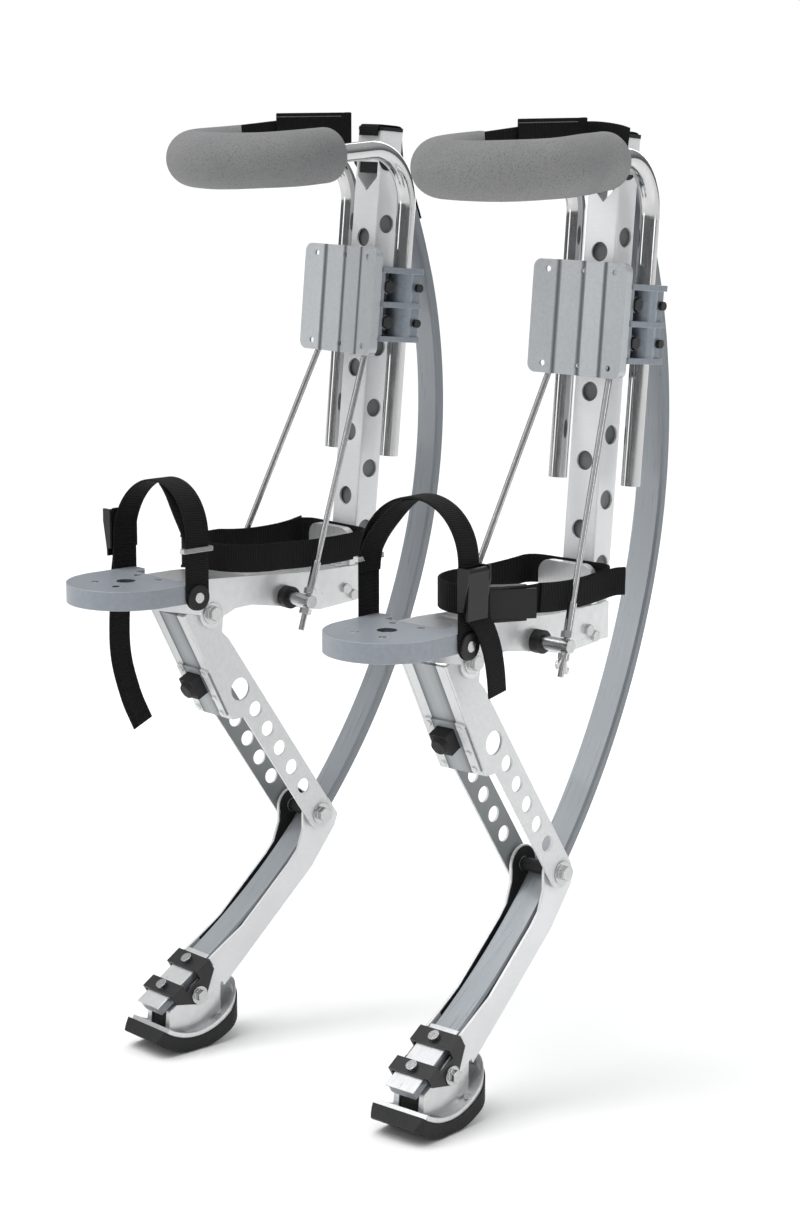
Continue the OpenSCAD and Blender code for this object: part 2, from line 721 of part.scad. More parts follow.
// rivets with their discs, and a metal slide on the inner side of each toe strap
module strap_fittings_shape(top) {
    slide_z = top - strap_out_x - slide_high;
    pair() {
        pin(strap_mid_y, disc_z, toe_half_w - toe_wall, strap_out_x + 2, disc_pin_r);
        pin(strap_mid_y, disc_z, strap_out_x, strap_out_x + 2, disc_r);
        pin(strap_mid_y, disc_z, strap_out_x + 2, strap_out_x + 3.6, 5.5);
    }
    difference() {
        block([-strap_out_x - slide_thick, strap_mid_y - slide_half, slide_z],
            [slide_thick - strap_in_x, strap_mid_y + slide_half, slide_z + slide_high]);
        block([-strap_out_x - seat_gap, strap_mid_y - web_width / 2 - seat_gap, slide_z - cut],
            [seat_gap - strap_in_x, strap_mid_y + web_width / 2 + seat_gap, slide_z + slide_high + cut]);
    }
}

// Ankle strap

module ankle_plan(inset) {
    w = ankle_half_w - inset;
    translate([0, ankle_front_y]) circle(w);
    translate([-w, ankle_front_y]) square([2 * w, ankle_rear_y - 30 - ankle_front_y]);
    soft_rect([-w, ankle_front_y], [w, ankle_rear_y - inset], 18 - inset);
}

module ankle_strap_shape() translate([0, 0, ankle_low_z]) linear_extrude(web_width) difference() {
    ankle_plan(0);
    ankle_plan(web_thick);
}

// Cam buckles: X points away from the webbing, which runs along Z

buckle_in = web_width / 2 + 0.3;
buckle_wall = 2.5;
buckle_pin_x = 8.5;
buckle_pin_z = 16;
buckle_pin_r = 2;

module at_toe_buckle() translate([strap_out_x, strap_mid_y, toe_buckle_z]) children();

module at_ankle_buckle() translate([0, ankle_front_y, ankle_low_z + web_width / 2]) rotate([0, 0, -40])
    translate([ankle_half_w, 0, 0]) rotate([90, 0, 0]) children();

module buckle_body() {
    for (s = [-1, 1]) translate([0, s * (buckle_in + buckle_wall / 2), 0]) rotate([90, 0, 0])
        linear_extrude(buckle_wall, center = true) polygon([
            [0.2, -buckle_half], [7, -buckle_half], [12.5, buckle_pin_z - 8], [12.5, buckle_half],
            [0.2, buckle_half]
        ]);
    block([web_thick + 0.5, -buckle_in, -buckle_half], [web_thick + 3, buckle_in, 5 - buckle_half]);
    translate([buckle_pin_x, 0, buckle_pin_z]) rotate([90, 0, 0])
        cylinder(h = 2 * buckle_in + buckle_wall, r = buckle_pin_r, center = true);
}

module buckle_lever() difference() {
    union() {
        translate([buckle_pin_x, 0, buckle_pin_z]) rotate([90, 0, 0])
            cylinder(h = 2 * buckle_in - 0.8, r = 4, center = true);
        rotate([90, 0, 0]) linear_extrude(2 * buckle_in - 0.8, center = true) polygon([
            [9.5, buckle_pin_z], [12.4, buckle_pin_z], [10.6, -30], [8.2, -30]
        ]);
    }
    translate([buckle_pin_x, 0, buckle_pin_z]) rotate([90, 0, 0])
        cylinder(h = 3 * buckle_in, r = buckle_pin_r + run_gap, center = true);
}

// Lever

// fold of the lever's front: its lower and upper end, strip against height
fold_low = [-30.4, 174];
fold_high = [-13.5, 309];
fold_lean = atan2(fold_high[0] - fold_low[0], fold_high[1] - fold_low[1]);
lever_hole_first = 43.5;
lever_big_hole_q = 194;
lever_big_hole_r = 12.5;
lever_eye_r = 17;
bumper_low = 34;
bumper_high = 58;
bumper_half = 11;
bracket_thick = 2.5;
bracket_low = 3;
bracket_high = 66;
bracket_rivets = [9, 29, 60];
rivet_r = 3.2;
rivet_high = 1.6;

module on_fold() on_lever() translate([0, fold_low[0], fold_low[1]]) rotate([-fold_lean, 0, 0]) children();

module lever_side() difference() {
    union() {
        circle(lever_half);
        translate([-lever_half, 0]) square([2 * lever_half, 200]);
        translate([pivot_p, pivot_q]) circle(lever_eye_r);
        polygon([
            [-lever_half, 165], fold_low, fold_high, [pivot_p, pivot_q + lever_eye_r],
            [pivot_p + 14, pivot_q - 11], [pivot_p, pivot_q - 28], [lever_half, 250], [lever_half, 165]
        ]);
    }
    circle(knee_r + seat_gap);
    translate([pivot_p, pivot_q]) circle(pivot_r + run_gap);
    for (i = [0 : 4]) translate([0, lever_hole_first + i * lever_hole_pitch]) circle(lever_hole_r);
    translate([-3, lever_big_hole_q]) circle(lever_big_hole_r);
}

module lever_shape() {
    on_lever() pair() slab(lever_half_in, lever_half_out) lever_side();
    on_fold() difference() {
        block([-lever_half_in, 0, 0], [lever_half_in, lever_wall, norm(fold_high - fold_low) - 1]);
        block([-bumper_half, -cut, bumper_low], [bumper_half, lever_wall + cut, bumper_high]);
    }
}

module bumper_bracket_shape() on_fold() {
    difference() {
        rotate([90, 0, 0]) linear_extrude(bracket_thick)
            soft_rect([-lever_half_in, bracket_low], [lever_half_in, bracket_high], 5);
        block([-bumper_half, -bracket_thick - cut, bumper_low], [bumper_half, cut, bumper_high]);
    }
    for (z = bracket_rivets) pair() translate([20, -bracket_thick, z]) rotate([90, 0, 0])
        cylinder(h = rivet_high, r = rivet_r);
}

// rubber stop through the bracket, with a collar behind the lever's front
module bumper_shape() on_fold() {
    g = soft_gap;
    block([g - bumper_half, -16, bumper_low + g], [bumper_half - g, lever_wall + 8, bumper_high - g]);
    block([-bumper_half - 3, lever_wall + seat_gap, bumper_low - 3],
        [bumper_half + 3, lever_wall + 5, bumper_high + 3]);
    translate([0, -16, (bumper_low + bumper_high) / 2]) rotate([90, 0, 0])
        cylinder(h = 5, r1 = bumper_half - g, r2 = bumper_half - 3);
}

spacer_r = 6.5;

module knee_bolt_shape() {
    pin(knee_y, knee_z, -lever_half_out, lever_half_out, knee_r);
    pin(knee_y, knee_z, seat_gap - leg_half_in, leg_half_in - seat_gap, spacer_r);
    pair() pin(knee_y, knee_z, leg_half_out + seat_gap, lever_half_in, knee_r + 4);
    pair() pin(knee_y, knee_z, lever_half_out, lever_half_out + 2, 12);
    pair() hex(knee_y, knee_z, lever_half_out + 2, lever_half_out + 9, 8);
}

// Lower leg

leg_eye_r = 20;
leg_tongue = 12;

module leg_side() difference() {
    union() {
        translate([knee_y, knee_z]) circle(leg_eye_r);
        polygon([
            [knee_y - leg_eye_r, knee_z], [knee_y - leg_eye_r, 214], [-75, 192], [-87, 179], [-153, 121],
            [-200, 93], [-180, 59], [-55, 169], [-22, 210], [-17, 223], [-30, 243]
        ]);
        translate([hoof_y, hoof_z]) rotate(hoof_tilt) {
            circle(leg_tongue);
            translate([0, -leg_tongue]) square([42, 2 * leg_tongue]);
        }
    }
    translate([knee_y, knee_z]) circle(knee_r + run_gap);
    translate([hoof_y, hoof_z]) circle(hoof_bolt_r + seat_gap);
}

module lower_leg_shape() {
    pair() slab(leg_half_in, leg_half_out) leg_side();
    slab(-leg_half_in, leg_half_in) polygon([[-55, 169], [-180, 59], [-182.4, 62], [-57.4, 172]]);
}

// Hoof: the clamp's parts lie in the frame of the spring's tail

shim_q = tail_q + spring_thick + soft_gap;
shim_thick = 1.5;
band_q = shim_q + shim_thick + seat_gap;
band_thick = 2.8;
band_in_x = leg_half_out + 0.2;
band_out_x = band_in_x + 3;
band_p = [[-28, -11], [11, 31]];
band_screw_r = 3;

module shim_plate_shape() on_hoof() block([-18, -46, shim_q], [18, 38, shim_q + shim_thick]);

module spring_clamp_shape() on_hoof() difference() {
    union() {
        pair() slab(band_in_x, band_out_x) {
            circle(10);
            polygon([
                [band_p[0][0], band_q + band_thick], [band_p[0][0], 12], [-8, -7], [8, -7],
                [band_p[1][1], 10],
                [band_p[1][1], band_q + band_thick], [band_p[1][0], band_q + band_thick], [band_p[1][0], 14],
                [band_p[0][1], 14], [band_p[0][1], band_q + band_thick]
            ]);
        }
        for (b = band_p) block([-band_in_x, b[0], band_q], [band_in_x, b[1], band_q + band_thick]);
    }
    pin(0, 0, -band_out_x - cut, band_out_x + cut, hoof_bolt_r + seat_gap);
    for (b = band_p) translate([0, (b[0] + b[1]) / 2, band_q - cut])
        cylinder(h = band_thick + 2 * cut, r = band_screw_r + seat_gap);
}

// rocker of the hoof: a thick band of rubber bent about a line across the stilt, flat where it stands
rocker_c = [-225, 85];
sole_out_r = 86.5;
sole_thick = 15;
sole_in_r = sole_out_r - sole_thick;
sole_front_turn = -38;
sole_front_y = -284;
sole_rear_y = -161;
sole_corner_r = 20;
shoe_inset = 1.5;
shoe_thick = 5;
shoe_rim = 3;
shoe_floor = 2.3;
shoe_front_turn = -34;
shoe_out_r = sole_in_r - seat_gap;
floor_r = shoe_out_r - shoe_floor;
cheek_in_x = 13;
cheek_seat_r = floor_r + 1;
shoe_screw_turn = [-11, 30];
shoe_screw_x = 25;
shoe_screw_r = 2.2;
shoe_screw_deep = 8;

// side view of a band of the rocker, from its front end to the rear
module rocker_band(outer, inner, turn, rear) intersection() {
    translate(rocker_c) difference() {
        circle(outer);
        circle(inner);
    }
    polygon([rocker_c, [rocker_c[0] + rocker_c[1] * tan(turn), 0], [rear, 0], [rear, rocker_c[1]]]);
}

module hoof_plan(inset) linear_extrude(2 * rocker_c[1]) soft_rect(
    [inset - sole_half_w, sole_front_y], [sole_half_w - inset, sole_rear_y - inset], sole_corner_r - inset
);

module on_rocker(turn) translate([0, rocker_c[0], rocker_c[1]]) rotate([turn, 0, 0]) children();

module shoe_screw_holes() for (t = shoe_screw_turn) pair() on_rocker(t)
    translate([shoe_screw_x, 0, -floor_r - shoe_screw_deep - cut])
        cylinder(h = shoe_screw_deep + 2 * cut, r = shoe_screw_r + seat_gap);

// side view of the rest under the spring's tail, lowered by the given amount
module rest_side(low) intersection() {
    polygon([
        [-256 + low, 0], hoof_point(-36, tail_q - soft_gap) + [low, 0], hoof_point(30, tail_q - soft_gap),
        hoof_point(34, -10), [-184 - low, 0]
    ]);
    translate(rocker_c) circle(cheek_seat_r - low);
}

// rubber sole, and the rubber pad between the shoe's cheeks
module hoof_sole_shape() difference() {
    union() {
        intersection() {
            slab(-sole_half_w - cut, sole_half_w + cut)
                rocker_band(sole_out_r, sole_in_r, sole_front_turn, sole_rear_y + cut);
            hoof_plan(0);
        }
        slab(soft_gap - cheek_in_x, cheek_in_x - soft_gap) rest_side(2);
    }
    shoe_screw_holes();
    pin(hoof_y, hoof_z, -cheek_in_x, cheek_in_x, hoof_bolt_r + soft_gap);
}

// casting with a rim round its floor and two cheeks for the side bolt
module hoof_shoe_shape() difference() {
    union() {
        difference() {
            intersection() {
                slab(-sole_half_w, sole_half_w)
                    rocker_band(shoe_out_r, shoe_out_r - shoe_thick, shoe_front_turn, sole_rear_y);
                hoof_plan(shoe_inset);
            }
            intersection() {
                slab(-sole_half_w, sole_half_w)
                    rocker_band(floor_r, floor_r - 2 * shoe_thick, shoe_front_turn + 3, sole_rear_y);
                hoof_plan(shoe_inset + shoe_rim);
            }
        }
        pair() slab(cheek_in_x, leg_half_in - seat_gap) rest_side(0);
    }
    pin(hoof_y, hoof_z, -sole_half_w, sole_half_w, hoof_bolt_r + seat_gap);
    shoe_screw_holes();
}

// a point of the hoof's frame in side view
function hoof_point(p, q) = [
    hoof_y + p * cos(hoof_tilt) - q * sin(hoof_tilt), hoof_z + p * sin(hoof_tilt) + q * cos(hoof_tilt)
];

// side bolt, band screws and shoe screws
module hoof_screws_shape() {
    pin(hoof_y, hoof_z, -band_out_x, band_out_x, hoof_bolt_r);
    pair() pin(hoof_y, hoof_z, band_out_x, band_out_x + 1.5, 10);
    pair() hex(hoof_y, hoof_z, band_out_x + 1.5, band_out_x + 8, 7);
    for (b = band_p) on_hoof() translate([0, (b[0] + b[1]) / 2, band_q]) {
        cylinder(h = band_thick, r = band_screw_r);
        translate([0, 0, band_thick]) cylinder(h = 4.5, r = 6);
    }
    for (t = shoe_screw_turn) pair() on_rocker(t) translate([shoe_screw_x, 0, -floor_r - shoe_screw_deep]) {
        cylinder(h = shoe_screw_deep, r = shoe_screw_r);
        translate([0, 0, shoe_screw_deep]) cylinder(h = 2, r = 4);
    }
}

// Named pieces

white_tone = [0.92, 0.92, 0.93];
grey_tone = [0.55, 0.58, 0.61];
bright_tone = [0.8, 0.81, 0.82];
steel_tone = [0.7, 0.7, 0.71];
black_tone = [0.08, 0.08, 0.08];
foam_tone = [0.42, 0.43, 0.45];

module left_upright() color(white_tone) left_side() upright_shape();

module right_upright() color(white_tone) right_side() upright_shape();

module left_calf_plate() color(grey_tone) left_side() calf_plate_shape();

module right_calf_plate() color(grey_tone) right_side() calf_plate_shape();

module left_tube_clamps() color(grey_tone) left_side() tube_clamps_shape();

module right_tube_clamps() color(grey_tone) right_side() tube_clamps_shape();

module left_spring() color(grey_tone) left_side() spring_shape();

module right_spring() color(grey_tone) right_side() spring_shape();

module left_foot_frame() color(bright_tone) left_side() foot_frame_shape();

module right_foot_frame() color(bright_tone) right_side() foot_frame_shape();

module left_toe_plate() color(grey_tone) left_side() toe_plate_shape();

module right_toe_plate() color(grey_tone) right_side() toe_plate_shape();

module left_toe_strap() color(black_tone) left_side() toe_strap_shape(left_arch_z, left_tail_z);

module right_toe_strap() color(black_tone) right_side() toe_strap_shape(right_arch_z, right_tail_z);

module left_ankle_strap() color(black_tone) left_side() ankle_strap_shape();

module right_ankle_strap() color(black_tone) right_side() ankle_strap_shape();

module left_pivot_bolt() color(steel_tone) left_side() pivot_bolt_shape();

module right_pivot_bolt() color(steel_tone) right_side() pivot_bolt_shape();

module left_knee_bar() color(steel_tone) left_side() knee_bar_shape();

module right_knee_bar() color(steel_tone) right_side() knee_bar_shape();

module left_foam_grip() color(foam_tone) left_side() foam_grip_shape(foam_long);

module right_foam_grip() color(foam_tone) right_side() foam_grip_shape(foam_short);

module left_knee_strap() color(black_tone) left_side() knee_strap_shape();

module right_knee_strap() color(black_tone) right_side() mirror([1, 0, 0]) knee_strap_shape();

module left_lever() color(white_tone) left_side() lever_shape();

module right_lever() color(white_tone) right_side() lever_shape();

module left_bumper_bracket() color(bright_tone) left_side() bumper_bracket_shape();

module right_bumper_bracket() color(bright_tone) right_side() bumper_bracket_shape();

module left_bumper() color(black_tone) left_side() bumper_shape();

module right_bumper() color(black_tone) right_side() bumper_shape();

module left_knee_bolt() color(steel_tone) left_side() knee_bolt_shape();

module right_knee_bolt() color(steel_tone) right_side() knee_bolt_shape();

module left_lower_leg() color(white_tone) left_side() lower_leg_shape();

module right_lower_leg() color(white_tone) right_side() lower_leg_shape();

module left_shim_plate() color(bright_tone) left_side() shim_plate_shape();

module right_shim_plate() color(bright_tone) right_side() shim_plate_shape();

module left_spring_clamp() color(black_tone) left_side() spring_clamp_shape();

module right_spring_clamp() color(black_tone) right_side() spring_clamp_shape();

module left_hoof_screws() color(steel_tone) left_side() hoof_screws_shape();

module right_hoof_screws() color(steel_tone) right_side() hoof_screws_shape();

module left_hoof_shoe() color(bright_tone) left_side() hoof_shoe_shape();

module right_hoof_shoe() color(bright_tone) right_side() hoof_shoe_shape();

module left_hoof_sole() color(black_tone) left_side() hoof_sole_shape();

module right_hoof_sole() color(black_tone) right_side() hoof_sole_shape();

module left_toe_lever() color(black_tone) left_side() at_toe_buckle() buckle_lever();

module left_ankle_lever() color(black_tone) left_side() at_ankle_buckle() buckle_lever();

module right_toe_lever() color(black_tone) right_side() at_toe_buckle() buckle_lever();

module right_ankle_lever() color(black_tone) right_side() at_ankle_buckle() buckle_lever();

module top_caps() color(black_tone) both_sides() top_cap_shape();

module heel_plates() color(bright_tone) both_sides() heel_plate_shape();

module cross_shafts() color(steel_tone) both_sides() cross_shaft_shape();

module shaft_bushes() color(black_tone) both_sides() shaft_bush_shape();

module tie_rods() color(steel_tone) both_sides() tie_rod_shape();

module clamp_screws() color(black_tone) both_sides() clamp_screws_shape();

module toe_screws() color(steel_tone) both_sides() toe_screws_shape();

module heel_bolts() color(steel_tone) both_sides() heel_bolts_shape();

module buckle_bodies() color(black_tone) both_sides() {
    at_toe_buckle() buckle_body();
    at_ankle_buckle() buckle_body();
}

module rod_nuts() color(steel_tone) {
    both_sides() upper_rod_nuts();
    left_side() lower_wing_nuts();
    right_side() lower_hex_nuts();
}

module strap_fittings() color(steel_tone) {
    left_side() strap_fittings_shape(left_arch_z);
    right_side() strap_fittings_shape(right_arch_z);
}

left_upright();
right_upright();
left_calf_plate();
right_calf_plate();
left_tube_clamps();
right_tube_clamps();
left_spring();
right_spring();
left_foot_frame();
right_foot_frame();
left_toe_plate();
right_toe_plate();
left_toe_strap();
right_toe_strap();
left_ankle_strap();
right_ankle_strap();
left_pivot_bolt();
right_pivot_bolt();
left_knee_bar();
right_knee_bar();
left_foam_grip();
right_foam_grip();
left_knee_strap();
right_knee_strap();
left_lever();
right_lever();
left_bumper_bracket();
right_bumper_bracket();
left_bumper();
right_bumper();
left_knee_bolt();
right_knee_bolt();
left_lower_leg();
right_lower_leg();
left_shim_plate();
right_shim_plate();
left_spring_clamp();
right_spring_clamp();
left_hoof_screws();
right_hoof_screws();
left_hoof_shoe();
right_hoof_shoe();
left_hoof_sole();
right_hoof_sole();
left_toe_lever();
left_ankle_lever();
right_toe_lever();
right_ankle_lever();
top_caps();
heel_plates();
cross_shafts();
shaft_bushes();
tie_rods();
clamp_screws();
toe_screws();
heel_bolts();
strap_fittings();
buckle_bodies();
rod_nuts();
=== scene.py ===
"""Looks of the pair of jumping stilts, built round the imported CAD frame."""
import json
import math
import bmesh
import bpy
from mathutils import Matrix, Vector


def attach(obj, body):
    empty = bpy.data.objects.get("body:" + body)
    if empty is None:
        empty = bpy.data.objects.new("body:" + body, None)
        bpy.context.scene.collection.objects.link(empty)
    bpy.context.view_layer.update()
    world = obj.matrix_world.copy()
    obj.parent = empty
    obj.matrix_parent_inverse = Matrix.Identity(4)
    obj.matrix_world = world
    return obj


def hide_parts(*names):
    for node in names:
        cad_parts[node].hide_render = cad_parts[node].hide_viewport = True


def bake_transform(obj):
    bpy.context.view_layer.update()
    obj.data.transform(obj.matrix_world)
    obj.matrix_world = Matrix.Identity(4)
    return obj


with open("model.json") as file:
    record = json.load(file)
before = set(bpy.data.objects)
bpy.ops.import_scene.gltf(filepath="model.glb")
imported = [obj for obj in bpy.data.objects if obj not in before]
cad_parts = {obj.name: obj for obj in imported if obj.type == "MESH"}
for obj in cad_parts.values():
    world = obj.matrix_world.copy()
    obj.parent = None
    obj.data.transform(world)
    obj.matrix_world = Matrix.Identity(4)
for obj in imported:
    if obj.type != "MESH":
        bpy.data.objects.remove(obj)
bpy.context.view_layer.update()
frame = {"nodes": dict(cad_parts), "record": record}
nodes = frame["nodes"]

# Sizes of one stilt, in millimetres in its own frame: x outwards, y to the rear, z up

STANCE, STEP_BACK = 332.0, 16.5
TOE_OUT = math.radians(3.7)
# directions: of each stilt along the row, and of the two sides of one stilt
SIGN = {"left": 1, "right": -1}
FACES = {"outer": 1, "inner": -1}
# upright: its foot as (y, z) and its lean
UPRIGHT_FOOT, LEAN = (5.7, 470.0), math.radians(5.43)
# toe plate: its bore, whose wall gets painted shade; calf plate: its creases, darkened by painted shade;
# lever: edge of its lips and its inner faces, which bound its painted shade
TOE_BORE_Y, TOE_BORE_R = -285.0, 10.1
CREASES = (-29.5, 0.0, 29.5)
LIP_EDGE, LEVER_INSIDE = 15.5, 27.0
# webbing of the straps
WEB_WIDE, WEB_THICK = 30.0, 2.2
# toe strap: its arch, outer radius, lower end, bulge to the rear, inset of the flap, height of the discs
ARCH_X, ARCH_Y, ARCH_TOP = 63.3, -240.0, {"left": 643.0, "right": 622.0}
STRAP_OUT, STRAP_LOW, ARCH_BULGE = 64.4, 491.0, 7.0
FLAP_IN, DISC_Z = 2.6, 505.0
# ankle strap: half its width, the middle of its front round, its height, the corners at the heel
ANKLE_X, ANKLE_Y, ANKLE_Z = 54.9, -124.0, 533.0
HEEL_X, HEEL_Y, HEEL_R = 38, -12, 16.9
# knee strap: place of its fold along the arm, depths of its layers and stitches, its height, its loop
FOLD_K, FOLD_R = 30, 3.2
LAYER_IN, LAYER_OUT, STITCH_OUT, KNEE_LIFT = 30.5, 33.4, 34.75, 15.0
LOOP_K, LOOP_R = 105, 11.3
# knee bar: rear corner, flare and slope of the arms, nose
CORNER = Vector((47.0, 70.37, 960.08))
FLARE, SLOPE = math.radians(7.9), math.radians(2.7)
NOSE_R, NOSE_REACH, ARM_LEN = 70.0, 170.59, 162.51
# foam: radius, rounding of its ends, bare length of the inner and outer arm
FOAM_R, FOAM_EDGE = 29.0, 9.0
FOAM_INNER, FOAM_OUTER = 130.0, {"left": 95.0, "right": 130.0}
# spring: middles and radii of its two bows, turns at their ends, straight tail
BOW_1, R_1 = Vector((-464.0, 672.0)), 613.0
BOW_2, R_2 = Vector((-581.12, 706.16)), 735.0
TAIL_Y, TAIL_Z = -0.8432, -0.5376
TAIL, TAIL_LEN = Vector((-185.984, 86.408)), 86.0
TURN_TOP, TURN_MID = math.radians(27.5), math.atan2(-0.28, 0.96)
TURN_LOW = math.atan2(TAIL_Y, -TAIL_Z)
BOW_LEN_1, BOW_LEN_2 = R_1 * (TURN_TOP - TURN_MID), R_2 * (TURN_MID - TURN_LOW)
SPRING_LEN = BOW_LEN_1 + TAIL_LEN + BOW_LEN_2
SPRING_W, SPRING_T, SPRING_BEVEL = 34.0, 12.0, 2.5
# spring lengths from its top: the knee, and where each half bends
KNEE_S, BEND_UPPER, BEND_LOWER = 795.0, (420, 760), (800, 890)
# knee as (y, z)
KNEE = (-47.0, 230.0)

# Materials


def new_material(name):
    """New material, its node tree and its shader."""
    mat = bpy.data.materials.new(name)
    mat.use_nodes = True
    tree = mat.node_tree
    tree.nodes.clear()
    out = tree.nodes.new("ShaderNodeOutputMaterial")
    shader = tree.nodes.new("ShaderNodeBsdfPrincipled")
    tree.links.new(shader.outputs[0], out.inputs[0])
    return mat, tree, shader


def node(tree, kind, **values):
    """New node with its input sockets set by name."""
    made = tree.nodes.new(kind)
    for key, value in values.items():
        made.inputs[key.replace("_", " ")].default_value = value
    return made


def coords(tree, scale=(1, 1, 1)):
    """Object coordinates, stretched per axis."""
    source = tree.nodes.new("ShaderNodeTexCoord")
    stretch = tree.nodes.new("ShaderNodeMapping")
    stretch.inputs["Scale"].default_value = scale
    tree.links.new(source.outputs["Object"], stretch.inputs["Vector"])
    return stretch.outputs["Vector"]


def noise(tree, vector, scale, detail=4.0, rough=0.6):
    """Cloudy grey pattern."""
    made = node(tree, "ShaderNodeTexNoise", Scale=scale, Detail=detail, Roughness=rough)
    tree.links.new(vector, made.inputs["Vector"])
    return made.outputs["Fac"]


def remap(tree, value, low, high, to_low, to_high):
    """Value carried from one range to another."""
    made = tree.nodes.new("ShaderNodeMapRange")
    for key, number in zip(("From Min", "From Max", "To Min", "To Max"), (low, high, to_low, to_high)):
        made.inputs[key].default_value = number
    tree.links.new(value, made.inputs["Value"])
    return made.outputs["Result"]


def ramp(tree, value, stops):
    """Colour by value, between stops of (place, colour)."""
    made = tree.nodes.new("ShaderNodeValToRGB")
    made.color_ramp.elements[0].position = stops[0][0]
    made.color_ramp.elements[0].color = (*stops[0][1], 1)
    made.color_ramp.elements[1].position = stops[-1][0]
    made.color_ramp.elements[1].color = (*stops[-1][1], 1)
    for place, colour in stops[1:-1]:
        made.color_ramp.elements.new(place).color = (*colour, 1)
    tree.links.new(value, made.inputs["Fac"])
    return made.outputs["Color"]


def mix(tree, fac, a, b):
    """Colour a, or b where the factor is high."""
    made = tree.nodes.new("ShaderNodeMix")
    made.data_type = "RGBA"
    tree.links.new(fac, made.inputs["Factor"])
    for socket, value in ((made.inputs["A"], a), (made.inputs["B"], b)):
        if isinstance(value, tuple):
            socket.default_value = (*value, 1)
        else:
            tree.links.new(value, socket)
    return made.outputs["Result"]


def bump(tree, shader, height, strength, distance, normal=None):
    """Relief on a shader."""
    made = tree.nodes.new("ShaderNodeBump")
    made.inputs["Strength"].default_value = strength
    made.inputs["Distance"].default_value = distance
    tree.links.new(height, made.inputs["Height"])
    if normal:
        tree.links.new(normal, made.inputs["Normal"])
    tree.links.new(made.outputs["Normal"], shader.inputs["Normal"])


def rounded(tree, radius=0.0007):
    """Normal that is rounded at the edges, and a factor that is high along them."""
    edge = tree.nodes.new("ShaderNodeBevel")
    edge.samples = 6
    edge.inputs["Radius"].default_value = radius
    geometry = tree.nodes.new("ShaderNodeNewGeometry")
    match = tree.nodes.new("ShaderNodeVectorMath")
    match.operation = "DOT_PRODUCT"
    tree.links.new(edge.outputs[0], match.inputs[0])
    tree.links.new(geometry.outputs["Normal"], match.inputs[1])
    return edge.outputs[0], remap(tree, match.outputs["Value"], 0.72, 0.94, 1.0, 0.0)


def metal(name, dark, light, rough, metallic=1.0, grain=(60, 60, 60), edge_wear_and_highlight=None, bumpiness=0.04,
          edge=0.0007):
    """Metal with a fine grain in colour and gloss, and paler edges that are part wear and part painted
    highlight.
    """
    mat, tree, shader = new_material(name)
    vector = coords(tree, grain)
    grains = noise(tree, vector, 4.0, 2.5, 0.5)
    patches = noise(tree, coords(tree), 14.0, 3.0)
    colour = ramp(tree, grains, [(0.3, dark), (0.7, light)])
    shade = remap(tree, patches, 0.3, 0.7, 0.0, 0.35)
    colour = mix(tree, shade, colour, tuple(0.86 * c for c in dark))
    normal, edges = rounded(tree, edge) if edge else (None, None)
    # paler colour along the edges: part rubbed wear, part painted highlight
    if edge_wear_and_highlight:
        colour = mix(tree, edges, colour, edge_wear_and_highlight)
    tree.links.new(colour, shader.inputs["Base Color"])
    tree.links.new(remap(tree, grains, 0.25, 0.75, rough[0], rough[1]), shader.inputs["Roughness"])
    shader.inputs["Metallic"].default_value = metallic
    if bumpiness:
        bump(tree, shader, grains, bumpiness, 0.0004, normal)
    elif normal:
        tree.links.new(normal, shader.inputs["Normal"])
    return mat


def sums(tree, kind, a, b=0.0):
    """Math node of two sockets or numbers."""
    made = tree.nodes.new("ShaderNodeMath")
    made.operation = kind
    for socket, value in zip(made.inputs, (a, b)):
        if isinstance(value, float):
            socket.default_value = value
        else:
            tree.links.new(value, socket)
    return made.outputs[0]


def stilt_place(tree, sign):
    """Place of a point in its stilt's own frame, in metres."""
    source = tree.nodes.new("ShaderNodeTexCoord")
    stilt = tree.nodes.new("ShaderNodeMapping")
    stilt.vector_type = "TEXTURE"
    stilt.inputs["Location"].default_value = (sign * STANCE / 2000, sign * STEP_BACK / 2000, 0)
    stilt.inputs["Rotation"].default_value = (0, 0, sign * TOE_OUT)
    tree.links.new(source.outputs["Object"], stilt.inputs["Vector"])
    parts = tree.nodes.new("ShaderNodeSeparateXYZ")
    tree.links.new(stilt.outputs["Vector"], parts.inputs[0])
    return parts.outputs


def paint_bore_shade(mat, sign):
    """Paints shade on the wall of the toe plate's bore, as a near-black colour inside its radius."""
    tree = mat.node_tree
    socket = tree.nodes["Principled BSDF"].inputs["Base Color"]
    place_in = stilt_place(tree, sign)
    aside = place_in["X"]
    along = sums(tree, "SUBTRACT", place_in["Y"], TOE_BORE_Y / 1000)
    squares = [sums(tree, "MULTIPLY", off, off) for off in (aside, along)]
    # painted shade: near-black colour on the bore wall, which lies in shadow
    shade = sums(tree, "LESS_THAN", sums(tree, "ADD", *squares), (TOE_BORE_R / 1000) ** 2)
    tree.links.new(mix(tree, shade, socket.links[0].from_socket, (0.03, 0.033, 0.036)), socket)
    return mat


